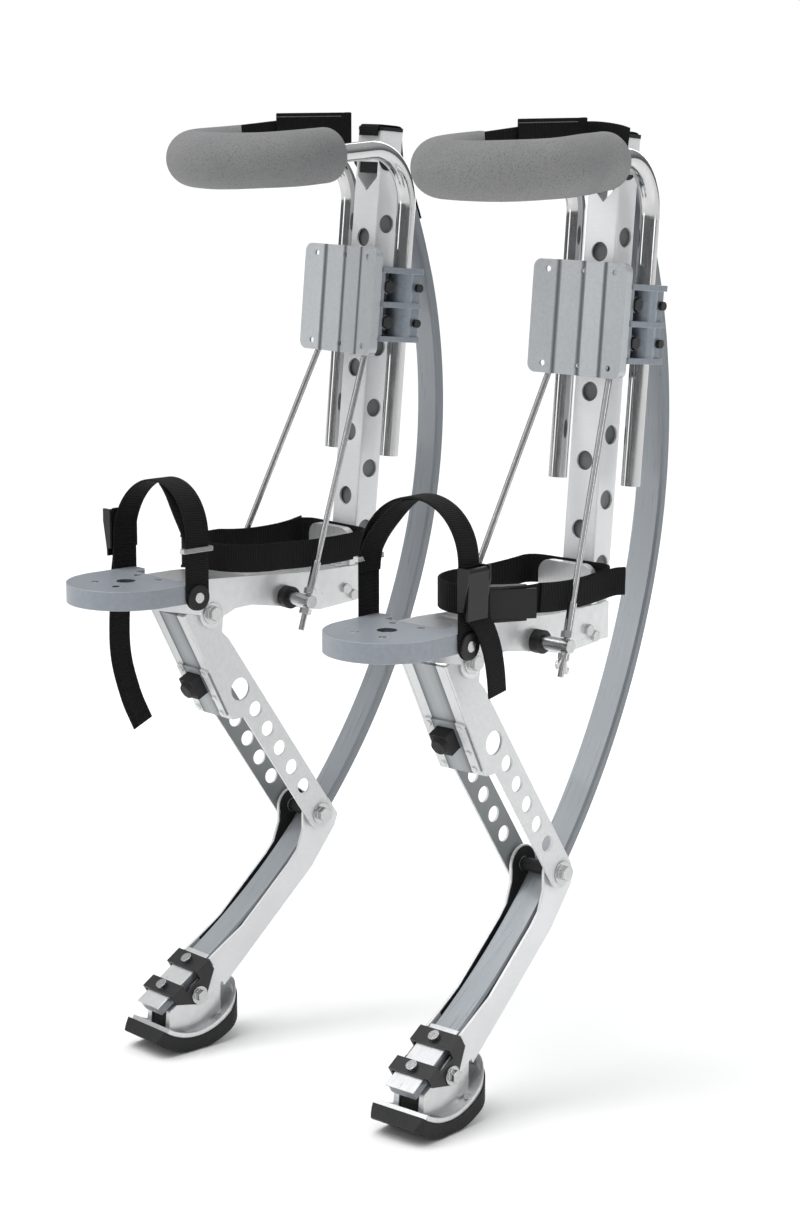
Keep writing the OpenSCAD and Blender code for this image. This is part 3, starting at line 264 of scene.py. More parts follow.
def lever_with_painted_shade(name, sign):
    """White painted lever, with painted shade between the lips of its front, standing in for the recess of
    an open channel, and painted shade on its insides.
    """
    mat, tree, shader = new_material(name)
    off = sums(tree, "ABSOLUTE", stilt_place(tree, sign)["X"])
    grains = noise(tree, coords(tree, (60, 60, 60)), 4.0, 2.0)
    paint = ramp(tree, grains, [(0.3, (0.7, 0.71, 0.715)), (0.7, (0.76, 0.77, 0.775))])
    normal, edges = rounded(tree, 0.0008)
    # paler colour along the edges: part wear, part painted highlight
    paint = mix(tree, edges, paint, (0.84, 0.85, 0.85))
    # painted shade between the lips: grey, darkest next to the lips, as if the front were a recessed
    # channel
    lip = LIP_EDGE / 1000
    shade = ramp(tree, remap(tree, off, 0.0, lip, 0.0, 1.0), [
        (0.0, (0.4, 0.42, 0.43)), (0.6, (0.33, 0.35, 0.36)), (1.0, (0.12, 0.13, 0.14))])
    paint = mix(tree, sums(tree, "GREATER_THAN", off, lip), shade, paint)
    # painted shade on the lever's inner faces
    from_inside = sums(tree, "ABSOLUTE", sums(tree, "SUBTRACT", off, LEVER_INSIDE / 1000))
    inside = sums(tree, "LESS_THAN", from_inside, 0.0002)
    tree.links.new(mix(tree, inside, paint, (0.27, 0.285, 0.29)), shader.inputs["Base Color"])
    tree.links.new(remap(tree, grains, 0.25, 0.75, 0.34, 0.44), shader.inputs["Roughness"])
    shader.inputs["Metallic"].default_value = 0.1
    bump(tree, shader, grains, 0.03, 0.0004, normal)
    return mat


def pressed(name, sign):
    """Painted sheet with three upright creases pressed into it as relief, with painted shade darkening the
    creases.
    """
    mat, tree, shader = new_material(name)
    place_x = stilt_place(tree, sign)["X"]
    near = None
    for line in CREASES:
        off = sums(tree, "ABSOLUTE", sums(tree, "SUBTRACT", place_x, line / 1000))
        near = off if near is None else sums(tree, "MINIMUM", near, off)
    groove = remap(tree, near, 0.0004, 0.0032, 0.0, 1.0)
    grains = noise(tree, coords(tree, (70, 70, 70)), 4.0, 5.0)
    paint = ramp(tree, grains, [(0.3, (0.47, 0.495, 0.515)), (0.7, (0.54, 0.56, 0.575))])
    normal, edges = rounded(tree, 0.0012)
    # paler colour along the edges: part wear, part painted highlight
    paint = mix(tree, edges, paint, (0.7, 0.72, 0.73))
    # painted shade: dark colour in the creases
    tree.links.new(mix(tree, groove, (0.13, 0.145, 0.16), paint), shader.inputs["Base Color"])
    shader.inputs["Metallic"].default_value = 0.35
    tree.links.new(remap(tree, grains, 0.25, 0.75, 0.3, 0.42), shader.inputs["Roughness"])
    bump(tree, shader, groove, 0.9, 0.0016, normal)
    return mat


def soft(name, dark, light, rough, scale, depth, gloss=0.5, pits=None):
    """Matte plastic, rubber or foam with a fine pebble."""
    mat, tree, shader = new_material(name)
    pebble = noise(tree, coords(tree), scale, 5.0, 0.7)
    broad = noise(tree, coords(tree), 9.0, 2.0)
    colour = mix(tree, remap(tree, broad, 0.35, 0.65, 0.0, 1.0), dark, light)
    if pits:
        colour = mix(tree, remap(tree, pebble, 0.36, 0.5, 0.75, 0.0), colour, pits)
    tree.links.new(colour, shader.inputs["Base Color"])
    tree.links.new(remap(tree, pebble, 0.3, 0.7, rough[0], rough[1]), shader.inputs["Roughness"])
    shader.inputs["Specular IOR Level"].default_value = gloss
    bump(tree, shader, pebble, 0.5, depth, rounded(tree)[0])
    return mat


white_alloy = metal(
    "white_alloy", (0.8, 0.805, 0.815), (0.85, 0.855, 0.865), (0.28, 0.4), 0.25,
    grain=(30, 30, 240), edge_wear_and_highlight=(0.92, 0.92, 0.93))
bright_alloy = metal(
    "bright_alloy", (0.68, 0.685, 0.69), (0.77, 0.775, 0.78), (0.27, 0.36), 0.7,
    grain=(120, 20, 20), edge_wear_and_highlight=(0.95, 0.95, 0.95), bumpiness=0.0)
grey_cast = metal(
    "grey_cast", (0.23, 0.26, 0.295), (0.29, 0.32, 0.36), (0.28, 0.4), 0.45,
    grain=(70, 70, 70), edge_wear_and_highlight=(0.6, 0.62, 0.64), bumpiness=0.06)
chromed_tube = metal(
    "chromed_tube", (0.55, 0.55, 0.55), (0.6, 0.6, 0.6), (0.1, 0.16), 1.0,
    grain=(90, 90, 12), bumpiness=0.0, edge=None)
steel = metal(
    "steel", (0.5, 0.5, 0.505), (0.58, 0.58, 0.585), (0.18, 0.28), 1.0,
    grain=(80, 80, 80), edge_wear_and_highlight=(0.8, 0.8, 0.8), bumpiness=0.0)
black_metal = metal(
    "black_metal", (0.007, 0.007, 0.0075), (0.014, 0.014, 0.015), (0.3, 0.44), 0.1,
    grain=(90, 90, 90), edge_wear_and_highlight=(0.1, 0.1, 0.1))
# grey for the sheets of painted shade inside the upright's channel
painted_channel_shade = soft(
    "painted_channel_shade", (0.145, 0.155, 0.158), (0.19, 0.2, 0.203), (0.5, 0.65), 200.0, 0.0002)
black_plastic = soft(
    "black_plastic", (0.006, 0.006, 0.0065), (0.011, 0.011, 0.012), (0.34, 0.48), 420.0, 0.0002, 0.35)
black_rubber = soft(
    "black_rubber", (0.009, 0.009, 0.0095), (0.018, 0.018, 0.0185), (0.5, 0.7), 300.0, 0.0004, 0.35)
foam_grey = soft(
    "foam_grey", (0.225, 0.226, 0.229), (0.265, 0.266, 0.268), (0.85, 0.97), 640.0, 0.0016, 0.3,
    pits=(0.125, 0.127, 0.131))


def webbing_material():
    """Black webbing with ribs across it and a fine fuzz."""
    mat, tree, shader = new_material("webbing")
    lay = tree.nodes.new("ShaderNodeUVMap")
    lay.uv_map = "lay"
    ribs = node(tree, "ShaderNodeTexWave", Scale=125.0, Distortion=0.6, Detail=1.0)
    ribs.bands_direction = "X"
    tree.links.new(lay.outputs["UV"], ribs.inputs["Vector"])
    fuzz = noise(tree, coords(tree), 700.0, 3.0)
    colour = ramp(tree, ribs.outputs["Fac"], [(0.1, (0.0025, 0.0025, 0.003)), (0.9, (0.009, 0.009, 0.01))])
    colour = mix(tree, remap(tree, fuzz, 0.45, 0.8, 0.0, 0.5), colour, (0.014, 0.014, 0.015))
    tree.links.new(colour, shader.inputs["Base Color"])
    shader.inputs["Roughness"].default_value = 0.8
    shader.inputs["Specular IOR Level"].default_value = 0.2
    bump(tree, shader, ribs.outputs["Fac"], 0.7, 0.0006)
    return mat


def spring_material():
    """Fibre blade with paler flats, darker sides, faint lengthwise bands and a painted highlight along its
    edges.
    """
    mat, tree, shader = new_material("spring_grey")
    geometry = tree.nodes.new("ShaderNodeNewGeometry")
    parts = tree.nodes.new("ShaderNodeSeparateXYZ")
    tree.links.new(geometry.outputs["True Normal"], parts.inputs[0])
    sideways = remap(tree, sums(tree, "ABSOLUTE", parts.outputs["X"]), 0.55, 0.85, 0.0, 1.0)
    bands = noise(tree, coords(tree, (400, 14, 14)), 1.0, 3.0)
    flat = ramp(tree, bands, [(0.3, (0.32, 0.345, 0.37)), (0.7, (0.355, 0.38, 0.405))])
    flank = ramp(tree, bands, [(0.3, (0.165, 0.185, 0.205)), (0.7, (0.19, 0.21, 0.23))])
    normal, edges = rounded(tree, 0.0009)
    # paler colour along the chamfered edges: painted highlight
    colour = mix(tree, edges, mix(tree, sideways, flat, flank), (0.6, 0.62, 0.63))
    tree.links.new(colour, shader.inputs["Base Color"])
    shader.inputs["Metallic"].default_value = 0.3
    tree.links.new(remap(tree, bands, 0.3, 0.7, 0.26, 0.36), shader.inputs["Roughness"])
    shader.inputs["Coat Weight"].default_value = 0.4
    bump(tree, shader, bands, 0.05, 0.0004, normal)
    return mat


spring_grey = spring_material()
webbing = webbing_material()
thread = soft("thread", (0.1, 0.1, 0.105), (0.16, 0.16, 0.165), (0.7, 0.85), 900.0, 0.0003)
by_slot = {
    "white_alloy": white_alloy, "bright_alloy": bright_alloy, "grey_cast": grey_cast,
    "spring_grey": spring_grey, "chromed_tube": chromed_tube, "steel": steel, "foam": foam_grey,
    "webbing": webbing, "black_rubber": black_rubber, "black_plastic": black_plastic,
    "black_metal": black_metal,
}
for part in frame["record"]["subparts"]:
    piece = nodes[part["node"]]
    piece.data.materials.clear()
    piece.data.materials.append(by_slot[part["material_slot"]])
for side, sign in SIGN.items():
    nodes[f"{side}_calf_plate"].data.materials[0] = pressed(f"{side}_pressed_plate", sign)
    # the lever and its bumper bracket share the white paint with painted shade
    lever_paint_and_shade = lever_with_painted_shade(f"{side}_lever_paint_and_shade", sign)
    nodes[f"{side}_lever"].data.materials[0] = lever_paint_and_shade
    nodes[f"{side}_bumper_bracket"].data.materials[0] = lever_paint_and_shade
    # toe plate paint: its paler rim edges are a painted highlight along the rim as well as wear
    toe_paint = metal(
        f"{side}_toe_paint", (0.27, 0.295, 0.33), (0.31, 0.335, 0.375), (0.34, 0.44), 0.1,
        grain=(50, 50, 50), edge_wear_and_highlight=(0.75, 0.77, 0.8), bumpiness=0.0, edge=0.0014)
    # toe plate paint with painted shade on its bore wall
    nodes[f"{side}_toe_plate"].data.materials[0] = paint_bore_shade(toe_paint, sign)

# Shapes


def place(side, p):
    """Point of a stilt in the row frame, in metres."""
    across = STANCE / 2 + p[0] * math.cos(TOE_OUT) - p[1] * math.sin(TOE_OUT)
    back = p[0] * math.sin(TOE_OUT) + p[1] * math.cos(TOE_OUT)
    sign = SIGN[side]
    return Vector((sign * across, back + sign * STEP_BACK / 2, p[2])) / 1000


def through(points, step=4.0):
    """Smooth line through the points, sampled about every step."""
    pts = [Vector(p) for p in points]
    pts = [2 * pts[0] - pts[1]] + pts + [2 * pts[-1] - pts[-2]]
    line = []
    for a, b, c, d in zip(pts, pts[1:], pts[2:], pts[3:]):
        count = max(2, round((c - b).length / step))
        for i in range(count):
            t = i / count
            line.append(0.5 * (2 * b + (c - a) * t + (2 * a - 5 * b + 4 * c - d) * t * t
                               + (3 * b - a - 3 * c + d) * t ** 3))
    return line + [pts[-2]]


def mesh_piece(name, verts, faces, uvs, mat, crease=35):
    """Mesh object with one material, clean normals and a UV map in metres."""
    data = bpy.data.meshes.new(name)
    data.from_pydata(verts, [], faces)
    layer = data.uv_layers.new(name="lay")
    for loop in data.loops:
        layer.data[loop.index].uv = uvs[loop.vertex_index]
    tidy = bmesh.new()
    tidy.from_mesh(data)
    bmesh.ops.recalc_face_normals(tidy, faces=tidy.faces)
    tidy.to_mesh(data)
    tidy.free()
    data.shade_smooth()
    data.set_sharp_from_angle(angle=math.radians(crease))
    data.materials.append(mat)
    made = bpy.data.objects.new(name, data)
    bpy.context.scene.collection.objects.link(made)
    return made


def sweep(name, side, path, wide, section, mat, closed=False, crease=35):
    """Section of (across, out) points carried along a path.

    The direction across, wide, is a vector or a function of the share of the length.
    """
    pts = [Vector(p) for p in path]
    n, m = len(pts), len(section(0.5))
    lengths = [0.0]
    for a, b in zip(pts, pts[1:]):
        lengths.append(lengths[-1] + (b - a).length)
    verts, uvs = [], []
    for i, p in enumerate(pts):
        after = pts[(i + 1) % n] if closed else pts[min(i + 1, n - 1)]
        before = pts[i - 1] if closed or i else pts[0]
        t = (after - before).normalized()
        u = lengths[i] / lengths[-1]
        w = Vector(wide(u) if callable(wide) else wide)
        w = (w - t * w.dot(t)).normalized()
        out = t.cross(w)
        for a, b in section(u):
            verts.append(place(side, p + w * a + out * b))
            uvs.append((lengths[i] / 1000, a / 1000))
    faces = []
    for i in range(n if closed else n - 1):
        k = (i + 1) % n
        faces += [(i * m + j, i * m + (j + 1) % m, k * m + (j + 1) % m, k * m + j) for j in range(m)]
    if not closed:
        faces += [tuple(range(m)), tuple(range((n - 1) * m, n * m))]
    return mesh_piece(name, verts, faces, uvs, mat, crease)


def web_section(width=WEB_WIDE, thick=WEB_THICK, length=0.0, round_r=0.0):
    """Flat webbing with rolled edges, narrowing to round ends if a length is given."""
    def section(u):
        d = min(u, 1.0 - u) * length
        w, t = width / 2, thick / 2
        if length and d < round_r:
            w = max(0.8, w - round_r + math.sqrt(round_r ** 2 - (round_r - d) ** 2))
        roll = min(1.0, 0.6 * w)
        half = [(-w, 0), (-w + 0.35 * roll, -0.7 * t), (-w + roll, -t)]
        half += [(-w + roll + 2 * (w - roll) * k / 6, -t) for k in range(1, 6)]
        half += [(w - roll, -t), (w - 0.35 * roll, -0.7 * t)]
        return half + [(-a, -b) for a, b in half]
    return section


def lathe(name, side, centre, profile, mat, sign=1):
    """Ring turned about a line across the stilt at (y, z); profile gives (radius, x) points."""
    turns, m = 48, len(profile)
    verts, uvs = [], []
    for k in range(turns):
        a = 2 * math.pi * k / turns
        for r, x in profile:
            verts.append(place(side, (sign * x, centre[0] + r * math.cos(a), centre[1] + r * math.sin(a))))
            uvs.append((0.06 * k / turns, r / 1000))
    faces = [(i * m + j, i * m + (j + 1) % m, (i + 1) % turns * m + (j + 1) % m, (i + 1) % turns * m + j)
             for i in range(turns) for j in range(m)]
    return mesh_piece(name, verts, faces, uvs, mat)


def plate(name, side, outline, x_low, x_high, mat):
    """Flat piece of (y, z) points between two values of x."""
    n = len(outline)
    verts = [place(side, (x, y, z)) for x in (x_low, x_high) for y, z in outline]
    uvs = [(y / 1000, z / 1000) for x in (x_low, x_high) for y, z in outline]
    faces = [tuple(range(n)), tuple(range(n, 2 * n))]
    faces += [(i, (i + 1) % n, (i + 1) % n + n, i + n) for i in range(n)]
    return mesh_piece(name, verts, faces, uvs, mat)


def on_upright(v, w):
    """Point in the upright's own plane, v to the rear and w up along it, as (y, z)."""
    foot_y, foot_z = UPRIGHT_FOOT
    y = foot_y + v * math.cos(LEAN) + w * math.sin(LEAN)
    z = foot_z - v * math.sin(LEAN) + w * math.cos(LEAN)
    return (y, z)


def on_bow(s, depth):
    """Point of the spring s millimetres from its top, this far in front of its rear face."""
    if s < BOW_LEN_1:
        turn = TURN_TOP - s / R_1
        at = BOW_1 + (R_1 - depth) * Vector((math.cos(turn), math.sin(turn)))
    elif s < BOW_LEN_1 + BOW_LEN_2:
        turn = TURN_MID - (s - BOW_LEN_1) / R_2
        at = BOW_2 + (R_2 - depth) * Vector((math.cos(turn), math.sin(turn)))
    else:
        along, forward = Vector((TAIL_Y, TAIL_Z)), Vector((TAIL_Z, -TAIL_Y))
        at = TAIL + (s - BOW_LEN_1 - BOW_LEN_2) * along + depth * forward
    return Vector((0.0, at[0], at[1]))


def blade_section(_share):
    """Flat blade with bevelled edges, the same over its whole length."""
    w, t, b = SPRING_W / 2, SPRING_T / 2, SPRING_BEVEL
    half = [(-w, -t + b), (-w + b, -t), (w - b, -t), (w, -t + b)]
    return half + [(-a, -c) for a, c in half]


def foam_point(s):
    """Point on the knee bar's centre line, s millimetres from the nose, positive to the outer side."""
    quarter = NOSE_R * (math.pi / 2 + FLARE)
    sign = 1.0 if s >= 0 else -1.0
    s = abs(s)
    if s < quarter:
        x, y = NOSE_R * math.sin(s / NOSE_R), -NOSE_REACH - NOSE_R * math.cos(s / NOSE_R)
    else:
        back = ARM_LEN - (s - quarter)
        x, y = CORNER[0] + back * math.sin(FLARE), -back * math.cos(FLARE)
    return Vector((sign * x, CORNER[1] + y * math.cos(SLOPE), CORNER[2] + y * math.sin(SLOPE)))


def foam_section_at(total, wobble):
    """Round section that closes over the foam's rounded ends."""
    def section(u):
        d = min(u, 1.0 - u) * total
        r = FOAM_R
        if d < FOAM_EDGE:
            r = FOAM_R - FOAM_EDGE + math.sqrt(max(0.0, FOAM_EDGE ** 2 - (FOAM_EDGE - d) ** 2))
        r += 0.25 * math.sin(wobble + 9.0 * u) + 0.2 * math.sin(2 * wobble + 23.0 * u)
        turns = [2 * math.pi * k / 48 for k in range(48)]
        return [(r * math.cos(a), r * math.sin(a)) for a in turns]
    return section


# Springs and soft pieces


def add_spring(side):
    """The blade in two halves that meet at the knee."""
    middle = SPRING_T / 2
    for half, low, high in (("upper", 0.0, KNEE_S), ("lower", KNEE_S, SPRING_LEN)):
        count = round((high - low) / 6.0)
        path = [on_bow(low + (high - low) * i / count, middle) for i in range(count + 1)]
        blade = sweep(f"{side}_spring_{half}", side, path, (1, 0, 0), blade_section, spring_grey, crease=30)
        if half == "upper":
            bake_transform(blade)
        else:
            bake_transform(blade)
        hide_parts(f"{side}_spring")


def add_foam(side):
    """Foam on the knee bar, longer on the arm of the left stilt that carries no strap."""
    quarter = NOSE_R * (math.pi / 2 + FLARE)
    low, high = -quarter - ARM_LEN + FOAM_INNER, quarter + ARM_LEN - FOAM_OUTER[side]
    total = high - low
    count = 150
    ends = [0.0, 0.4, 1.2, 2.4, 4.2, 6.6, FOAM_EDGE]
    stops = [low + e for e in ends]
    stops += [low + FOAM_EDGE + (total - 2 * FOAM_EDGE) * i / count for i in range(1, count)]
    stops += [high - e for e in reversed(ends)]
    path = [foam_point(s) for s in stops]
    section = foam_section_at(total, 0.6 if side == "left" else 2.1)
    foam = sweep(f"{side}_foam", side, path, (0, 0.05, 1), section, foam_grey, crease=50)
    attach(foam, f"{side}_bar")
    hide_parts(f"{side}_foam_grip")


def toe_arch(side, centre):
    """Webbing up one side, over the toes and down the other, with round ends behind the discs."""
    low, end_r = STRAP_LOW, WEB_WIDE / 2
    leg = [low + d for d in (0.0, 0.5, 1.3, 2.5, 4.0, 6.0, 8.5, 11.5, end_r)]
    leg += [low + end_r + (centre - low - end_r) * i / 16 for i in range(1, 17)]
    path = [Vector((ARCH_X, ARCH_Y, z)) for z in leg]
    for i in range(1, 48):
        a = math.pi * i / 48
        y = ARCH_Y + ARCH_BULGE * math.sin(a)
        path.append(Vector((ARCH_X * math.cos(a), y, centre + ARCH_X * math.sin(a))))
    path += [Vector((-ARCH_X, ARCH_Y, z)) for z in reversed(leg)]
    length = 2 * (centre - low) + math.pi * ARCH_X
    section = web_section(length=length, round_r=end_r)
    return sweep(f"{side}_toe_webbing", side, path, (0, 1, 0), section, webbing)


def toe_flap(side, centre):
    """Second layer inside the arch, standing off it in the middle and twisted a little."""
    foot = FLAP_IN - ARCH_X
    path = [Vector((foot, ARCH_Y, centre - 16.0)), Vector((foot, ARCH_Y, centre - 6.0))]
    for i in range(1, 25):
        t = i / 24
        swell = math.sin(math.pi * t)
        a, r = math.pi * (1.0 - 0.44 * t), ARCH_X - FLAP_IN - 9.0 * swell
        y = ARCH_Y + ARCH_BULGE * math.sin(a) - 5.0 * swell
        path.append(Vector((r * math.cos(a), y, centre + r * math.sin(a))))

    def twist(share):
        return (0.25 * math.sin(math.pi * share), 1, 0)

    return sweep(f"{side}_toe_flap", side, path, twist, web_section(28.0), webbing)


def toe_tail(side):
    """Loose end that hangs on the outer side, further down on the right stilt."""
    line = {
        "left": [
            (65.9, -240, 584), (65.9, -239, 545), (71, -226, 524),
            (73, -216, 500), (73, -210, 476), (72, -206, 453)],
        "right": [
            (65.9, -240, 584), (65.9, -240, 541), (70, -241, 505),
            (72.5, -242, 431), (72.5, -230, 379), (72, -214, 342)],
    }
    across = (0.0, 1.0, 0.15)
    return sweep(f"{side}_toe_tail", side, through(line[side]), across, web_section(27.0), webbing)


def add_toe_strap(side):
    """Arch over the toes, a flap inside it, the loose end, and the discs at the arch's feet."""
    centre = ARCH_TOP[side] - STRAP_OUT
    arch = toe_arch(side, centre)
    inner = toe_flap(side, centre)
    loose = toe_tail(side)
    for piece in (arch, inner, loose):
        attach(piece, "frames")
    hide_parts(f"{side}_toe_strap")
    profile = [
        (13.4, 65.4), (13.4, 66.8), (12.6, 67.4), (5.8, 67.4), (5.8, 66.6), (13.0, 66.6), (13.0, 65.4)]
    for face, sign in FACES.items():
        disc = lathe(f"{side}_strap_disc_{face}", side, (ARCH_Y, DISC_Z), profile, black_plastic, sign)
        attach(disc, "frames")


def ankle_plan():
    """Plan of the ankle loop, from the heel round the outer side."""
    plan = [(3.8 * i, 4.9) for i in range(10)]
    for i in range(9):
        a = math.pi * i / 16
        plan.append((HEEL_X + HEEL_R * math.sin(a), HEEL_Y + HEEL_R * math.cos(a)))
    plan += [(ANKLE_X, -16 - 3.6 * i) for i in range(30)]
    turns = [math.pi * i / 40 for i in range(41)]
    front = [(ANKLE_X * math.cos(a), ANKLE_Y - ANKLE_X * math.sin(a)) for a in turns]
    return plan + front + [(-x, y) for x, y in reversed(plan[1:])]


def ankle_height(x, y):
    """Height of the ankle loop, which sags between the heel and the buckle."""
    dip = max(0.0, 1.0 - ((y + 62.0) / 58.0) ** 2)
    return ANKLE_Z - (4.0 if x > 0 else 2.0) * dip * min(1.0, abs(x) / 40.0)


def add_ankle_strap(side):
    """Loop round the ankle, and its loose end along the outer side."""
    path = [Vector((x, y, ankle_height(x, y))) for x, y in ankle_plan()]
    loop = sweep(f"{side}_ankle_webbing", side, path, (0, 0, 1), web_section(), webbing, closed=True)
    free = [
        (ANKLE_X + 2.5, -122), (ANKLE_X + 2.6, -100), (ANKLE_X + 2.5, -70), (ANKLE_X + 2.5, -40),
        (ANKLE_X + 3.4, -18), (61, -4), (66, 6)]
    line = through([(x, y, ankle_height(x, y)) for x, y in free])
    loose = sweep(f"{side}_ankle_tail", side, line, (0, 0, 1), web_section(29.0), webbing)
    for piece in (loop, loose):
        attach(piece, "frames")
    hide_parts(f"{side}_ankle_strap")


def knee_arm(side):
    """Rear corner, direction and inward direction of the arm that is strapped.

    On both stilts that is the arm to the wearer's right.
    """
    sign = -SIGN[side]
    corner = Vector((sign * CORNER[0], CORNER[1], CORNER[2]))
    ahead = math.cos(FLARE)
    arm = Vector((sign * math.sin(FLARE), -ahead * math.cos(SLOPE), -ahead * math.sin(SLOPE)))
    inward = Vector((-sign * math.cos(FLARE), -math.sin(FLARE), 0))
    return corner, arm, inward


def stand_off(k):
    """How far the outer layer stands off the inner one, most of all near the fold."""
    return 3.5 * math.exp((FOLD_K - k) / 14.0)


def add_knee_strap(side):
    """Doubled webbing inside one arm, sewn, and held by a loop round the tube."""
    corner, arm, inward = knee_arm(side)

    def spot(k, depth, lift):
        return corner + arm * k + inward * depth + Vector((0, 0, lift))

    path = [spot(k, LAYER_IN, KNEE_LIFT - 0.04 * (k - FOLD_K)) for k in range(160, FOLD_K, -5)]
    for i in range(13):
        t = math.pi * i / 12
        depth = LAYER_IN + FOLD_R - FOLD_R * math.cos(t)
        path.append(spot(FOLD_K - FOLD_R * math.sin(t), depth, KNEE_LIFT))
    for k in range(35, 125, 5):
        path.append(spot(k, LAYER_OUT + stand_off(k), KNEE_LIFT + 0.05 * (k - FOLD_K)))
    band = sweep(f"{side}_knee_webbing", side, path, (0, 0, 1), web_section(42.0), webbing)
    if side == "left":
        across = through([(-14.5, 38, 972), (-8, 43.5, 972), (8, 44.5, 971), (24, 43, 969), (35, 40, 967)])
        rear = sweep("left_knee_cross_strap", side, across, (0, 0, 1), web_section(38.0), webbing)
        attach(rear, "left_bar")
    rows = []
    for row, lift in (("high", 32.0), ("low", 4.0)):
        line = [spot(k, STITCH_OUT + stand_off(k), lift + 0.05 * (k - FOLD_K)) for k in range(40, 122, 3)]
        stitch = sweep(f"{side}_knee_stitch_{row}", side, line, (0, 0, 1), web_section(1.0, 0.5), thread)
        rows.append(stitch)
    hold, up = corner + arm * LOOP_K, Vector((0, 0, 1))
    turns = [math.pi * i / 18 for i in range(36)]
    ring = [hold + LOOP_R * (math.cos(a) * inward + math.sin(a) * up) for a in turns]
    loop = sweep(f"{side}_knee_loop", side, ring, arm, web_section(32.0), webbing, closed=True)
    for piece in (band, loop, *rows):
        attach(piece, f"{side}_bar")
    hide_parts(f"{side}_knee_strap")


def add_top_strap(side):
    """Strap over the upright's top and down the rear of the spring."""
    over = [
        (-2.4, 502), (-2.5, 509), (-0.5, 513.2), (4, 513.7), (15, 513.8), (27, 513.6),
        (31.5, 512.2), (32.8, 507), (33.2, 497)]
    line = [(0.0, *on_upright(v, w)) for v, w in over] + [on_bow(s, -1.4) for s in (18, 40, 62, 84)]
    strap = sweep(f"{side}_top_strap", side, through(line), (1, 0, 0), web_section(31.0, 1.8), webbing)
    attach(strap, "frames")


def add_top_washers(side):
    """Black washers under the ends of the upright's top bolt."""
    profile = [
        (12.6, 20.1), (12.6, 22.2), (12.0, 22.7), (7.2, 22.7), (7.2, 21.6), (11.1, 21.6), (11.1, 20.1)]
    bolt = on_upright(10, 478)
    for face, sign in FACES.items():
        washer = lathe(f"{side}_top_washer_{face}", side, bolt, profile, black_rubber, sign)
        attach(washer, "frames")


def add_upright_shade_sheets(side):
    """Sheets of painted shade inside the channel of the upright, which lies in shadow: on its web and its
    two walls.
    """
    low, high = 48, 440
    walls = {
        "web": (-16.6, 16.6, 4.6, 5.4),
        "outer": (15.8, 16.6, 5.5, 27.0),
        "inner": (-16.6, -15.8, 5.5, 27.0),
    }
    for name, (x_low, x_high, v_low, v_high) in walls.items():
        ends = [(v_low, low), (v_high, low), (v_high, high), (v_low, high)]
        corners = [on_upright(v, w) for v, w in ends]
        # thin grey sheet of painted shade on an inner face of the channel
        shade_sheet = plate(f"{side}_upright_lining_{name}", side, corners, x_low, x_high, painted_channel_shade)
        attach(shade_sheet, "frames")


def add_knee_sleeve(side):
    """Black sleeve on the knee bolt, between the plates of the lower leg."""
    profile = [(6.6, -19.0), (7.1, -19.0), (7.1, 19.0), (6.6, 19.0)]
    sleeve = lathe(f"{side}_knee_sleeve", side, KNEE, profile, black_rubber)
    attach(sleeve, f"{side}_lever_arm")


def leg_outline():
    """Outline of the lower leg's sheets of painted shade as (y, z), slit open to the hole round the knee
    bolt.
    """
    knee_y, knee_z = KNEE

    def around(r, turn):
        a = math.radians(turn)
        return (knee_y + r * math.cos(a), knee_z + r * math.sin(a))

    outline = [around(18.6, turn) for turn in range(195, -36, -10)]
    outline += [around(8.0, turn) for turn in range(-35, 316, 10)]
    outline += [
        around(18.6, -48), (-27, 207), (-57.8, 172.2), (-170.5, 73), (-181, 103), (-151.5, 122.6),
        (-85.8, 180.3), (-73.6, 193), (-65.6, 214)]
    return outline


def add_leg_shade_sheets(side):
    """Black sheets of painted shade on the inner faces of the lower leg's plates, which lie in shadow."""
    outline = leg_outline()
    for face, sign in FACES.items():
        x_low, x_high = sign * 19.1, sign * 19.9
        # black sheet of painted shade, in the black rubber material
        shade_sheet = plate(f"{side}_leg_shade_sheet_{face}", side, outline, x_low, x_high, black_rubber)
        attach(shade_sheet, f"{side}_shank")


for side in SIGN:
    add_spring(side)
    add_foam(side)
    add_toe_strap(side)
    add_ankle_strap(side)
    add_knee_strap(side)
    add_top_strap(side)
    add_top_washers(side)
    add_upright_shade_sheets(side)
    add_knee_sleeve(side)
    add_leg_shade_sheets(side)


# Camera and stage

IMAGE_W, IMAGE_H, LENS = 800, 1208, 82.55
eye = Vector((2.016, -2.103, 1.066))
pitch = math.radians(11.4)
look = Vector((-0.7046 * math.cos(pitch), 0.7096 * math.cos(pitch), -math.sin(pitch)))
camera = bpy.data.objects.new("camera", bpy.data.cameras.new("camera"))
bpy.context.scene.collection.objects.link(camera)
camera.location = eye
camera.rotation_euler = look.to_track_quat("-Z", "Y").to_euler()
camera.data.sensor_width = 36.0
camera.data.sensor_fit = "AUTO"
camera.data.lens = LENS * max(IMAGE_W, IMAGE_H) / IMAGE_H
bpy.context.scene.camera = camera


def plain(name, colour, rough=0.9):
    """Even matt paint."""
    mat, tree, shader = new_material(name)
    spots = noise(tree, coords(tree), 2.0, 2.0)
    tree.links.new(mix(tree, spots, colour, tuple(0.99 * c for c in colour)), shader.inputs["Base Color"])
    shader.inputs["Roughness"].default_value = rough
    return mat


def stage_plane(name, size, place, turn):
    """Square of the stage, which isn't part of the object."""
    bpy.ops.mesh.primitive_plane_add(size=size, location=place, rotation=turn)
    made = bpy.context.object
    made.name = name
    return made


floor = stage_plane("floor", 40.0, (0, 0, -0.002), (0, 0, 0))
floor.data.materials.append(plain("floor_white", (0.985, 0.985, 0.98)))


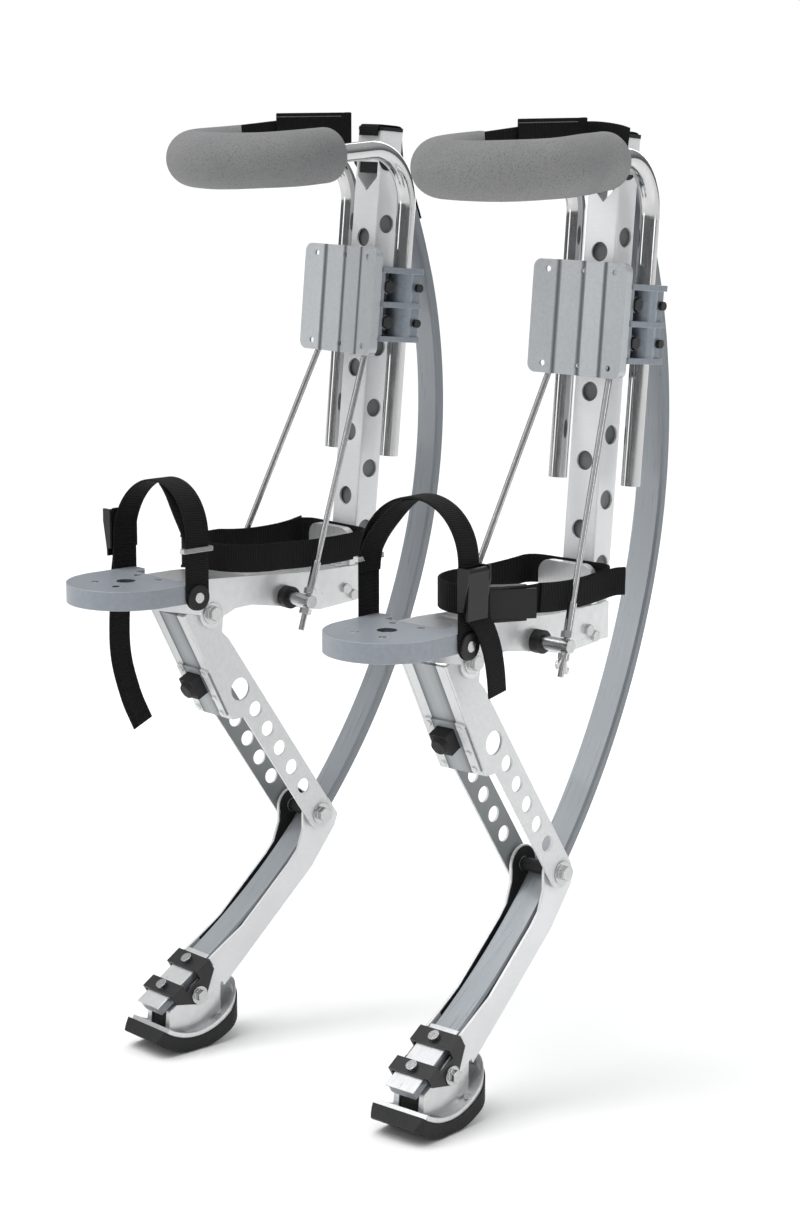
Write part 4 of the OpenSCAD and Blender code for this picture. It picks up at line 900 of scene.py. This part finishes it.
def area_light(name, place, target, size, power):
    """Soft box that faces its target."""
    data = bpy.data.lights.new(name, "AREA")
    data.shape = "RECTANGLE"
    data.size, data.size_y = size
    data.energy = power
    lamp = bpy.data.objects.new(name, data)
    bpy.context.scene.collection.objects.link(lamp)
    lamp.location = place
    lamp.rotation_euler = (Vector(target) - Vector(place)).to_track_quat("-Z", "Y").to_euler()
    return lamp


def sun_light(name, source, power, angle):
    """Even soft light over the whole floor."""
    data = bpy.data.lights.new(name, "SUN")
    data.energy = power
    data.angle = math.radians(angle)
    lamp = bpy.data.objects.new(name, data)
    bpy.context.scene.collection.objects.link(lamp)
    lamp.location = source
    lamp.rotation_euler = (-Vector(source)).to_track_quat("-Z", "Y").to_euler()


sun_light("top_sun", (-0.5, -0.9, 2.6), 2.0, 50)
area_light("front", (-1.6, -2.4, 1.5), (0, 0, 0.55), (0.7, 2.0), 9)
area_light("side", (2.4, 0.6, 1.7), (0, 0, 0.55), (0.6, 2.0), 10)
area_light("rear", (-1.3, 2.2, 1.6), (0, 0, 0.6), (0.8, 2.0), 14)


def studio_world():
    """White behind the part; the light on it comes from a bright ceiling and darker walls."""
    world = bpy.data.worlds.new("studio")
    bpy.context.scene.world = world
    world.use_nodes = True
    tree = world.node_tree
    tree.nodes.clear()
    output = tree.nodes.new("ShaderNodeOutputWorld")
    lit = tree.nodes.new("ShaderNodeBackground")
    seen = tree.nodes.new("ShaderNodeBackground")
    source = tree.nodes.new("ShaderNodeTexCoord")
    parts = tree.nodes.new("ShaderNodeSeparateXYZ")
    tree.links.new(source.outputs["Generated"], parts.inputs[0])
    height = remap(tree, parts.outputs["Z"], -1.0, 1.0, 0.0, 1.0)
    room = ramp(tree, height, [
        (0.0, (0.5, 0.5, 0.5)), (0.47, (0.2, 0.205, 0.21)), (0.58, (0.3, 0.31, 0.32)),
        (0.8, (0.95, 0.96, 0.97)), (1.0, (1, 1, 1))])
    tree.links.new(room, lit.inputs["Color"])
    lit.inputs["Strength"].default_value = 0.6
    seen.inputs["Color"].default_value = (1, 1, 1, 1)
    seen.inputs["Strength"].default_value = 1.0
    rays = tree.nodes.new("ShaderNodeLightPath")
    choose = tree.nodes.new("ShaderNodeMixShader")
    tree.links.new(rays.outputs["Is Camera Ray"], choose.inputs["Fac"])
    tree.links.new(lit.outputs[0], choose.inputs[1])
    tree.links.new(seen.outputs[0], choose.inputs[2])
    tree.links.new(choose.outputs[0], output.inputs["Surface"])


studio_world()
bpy.context.scene.view_settings.view_transform = "Standard"
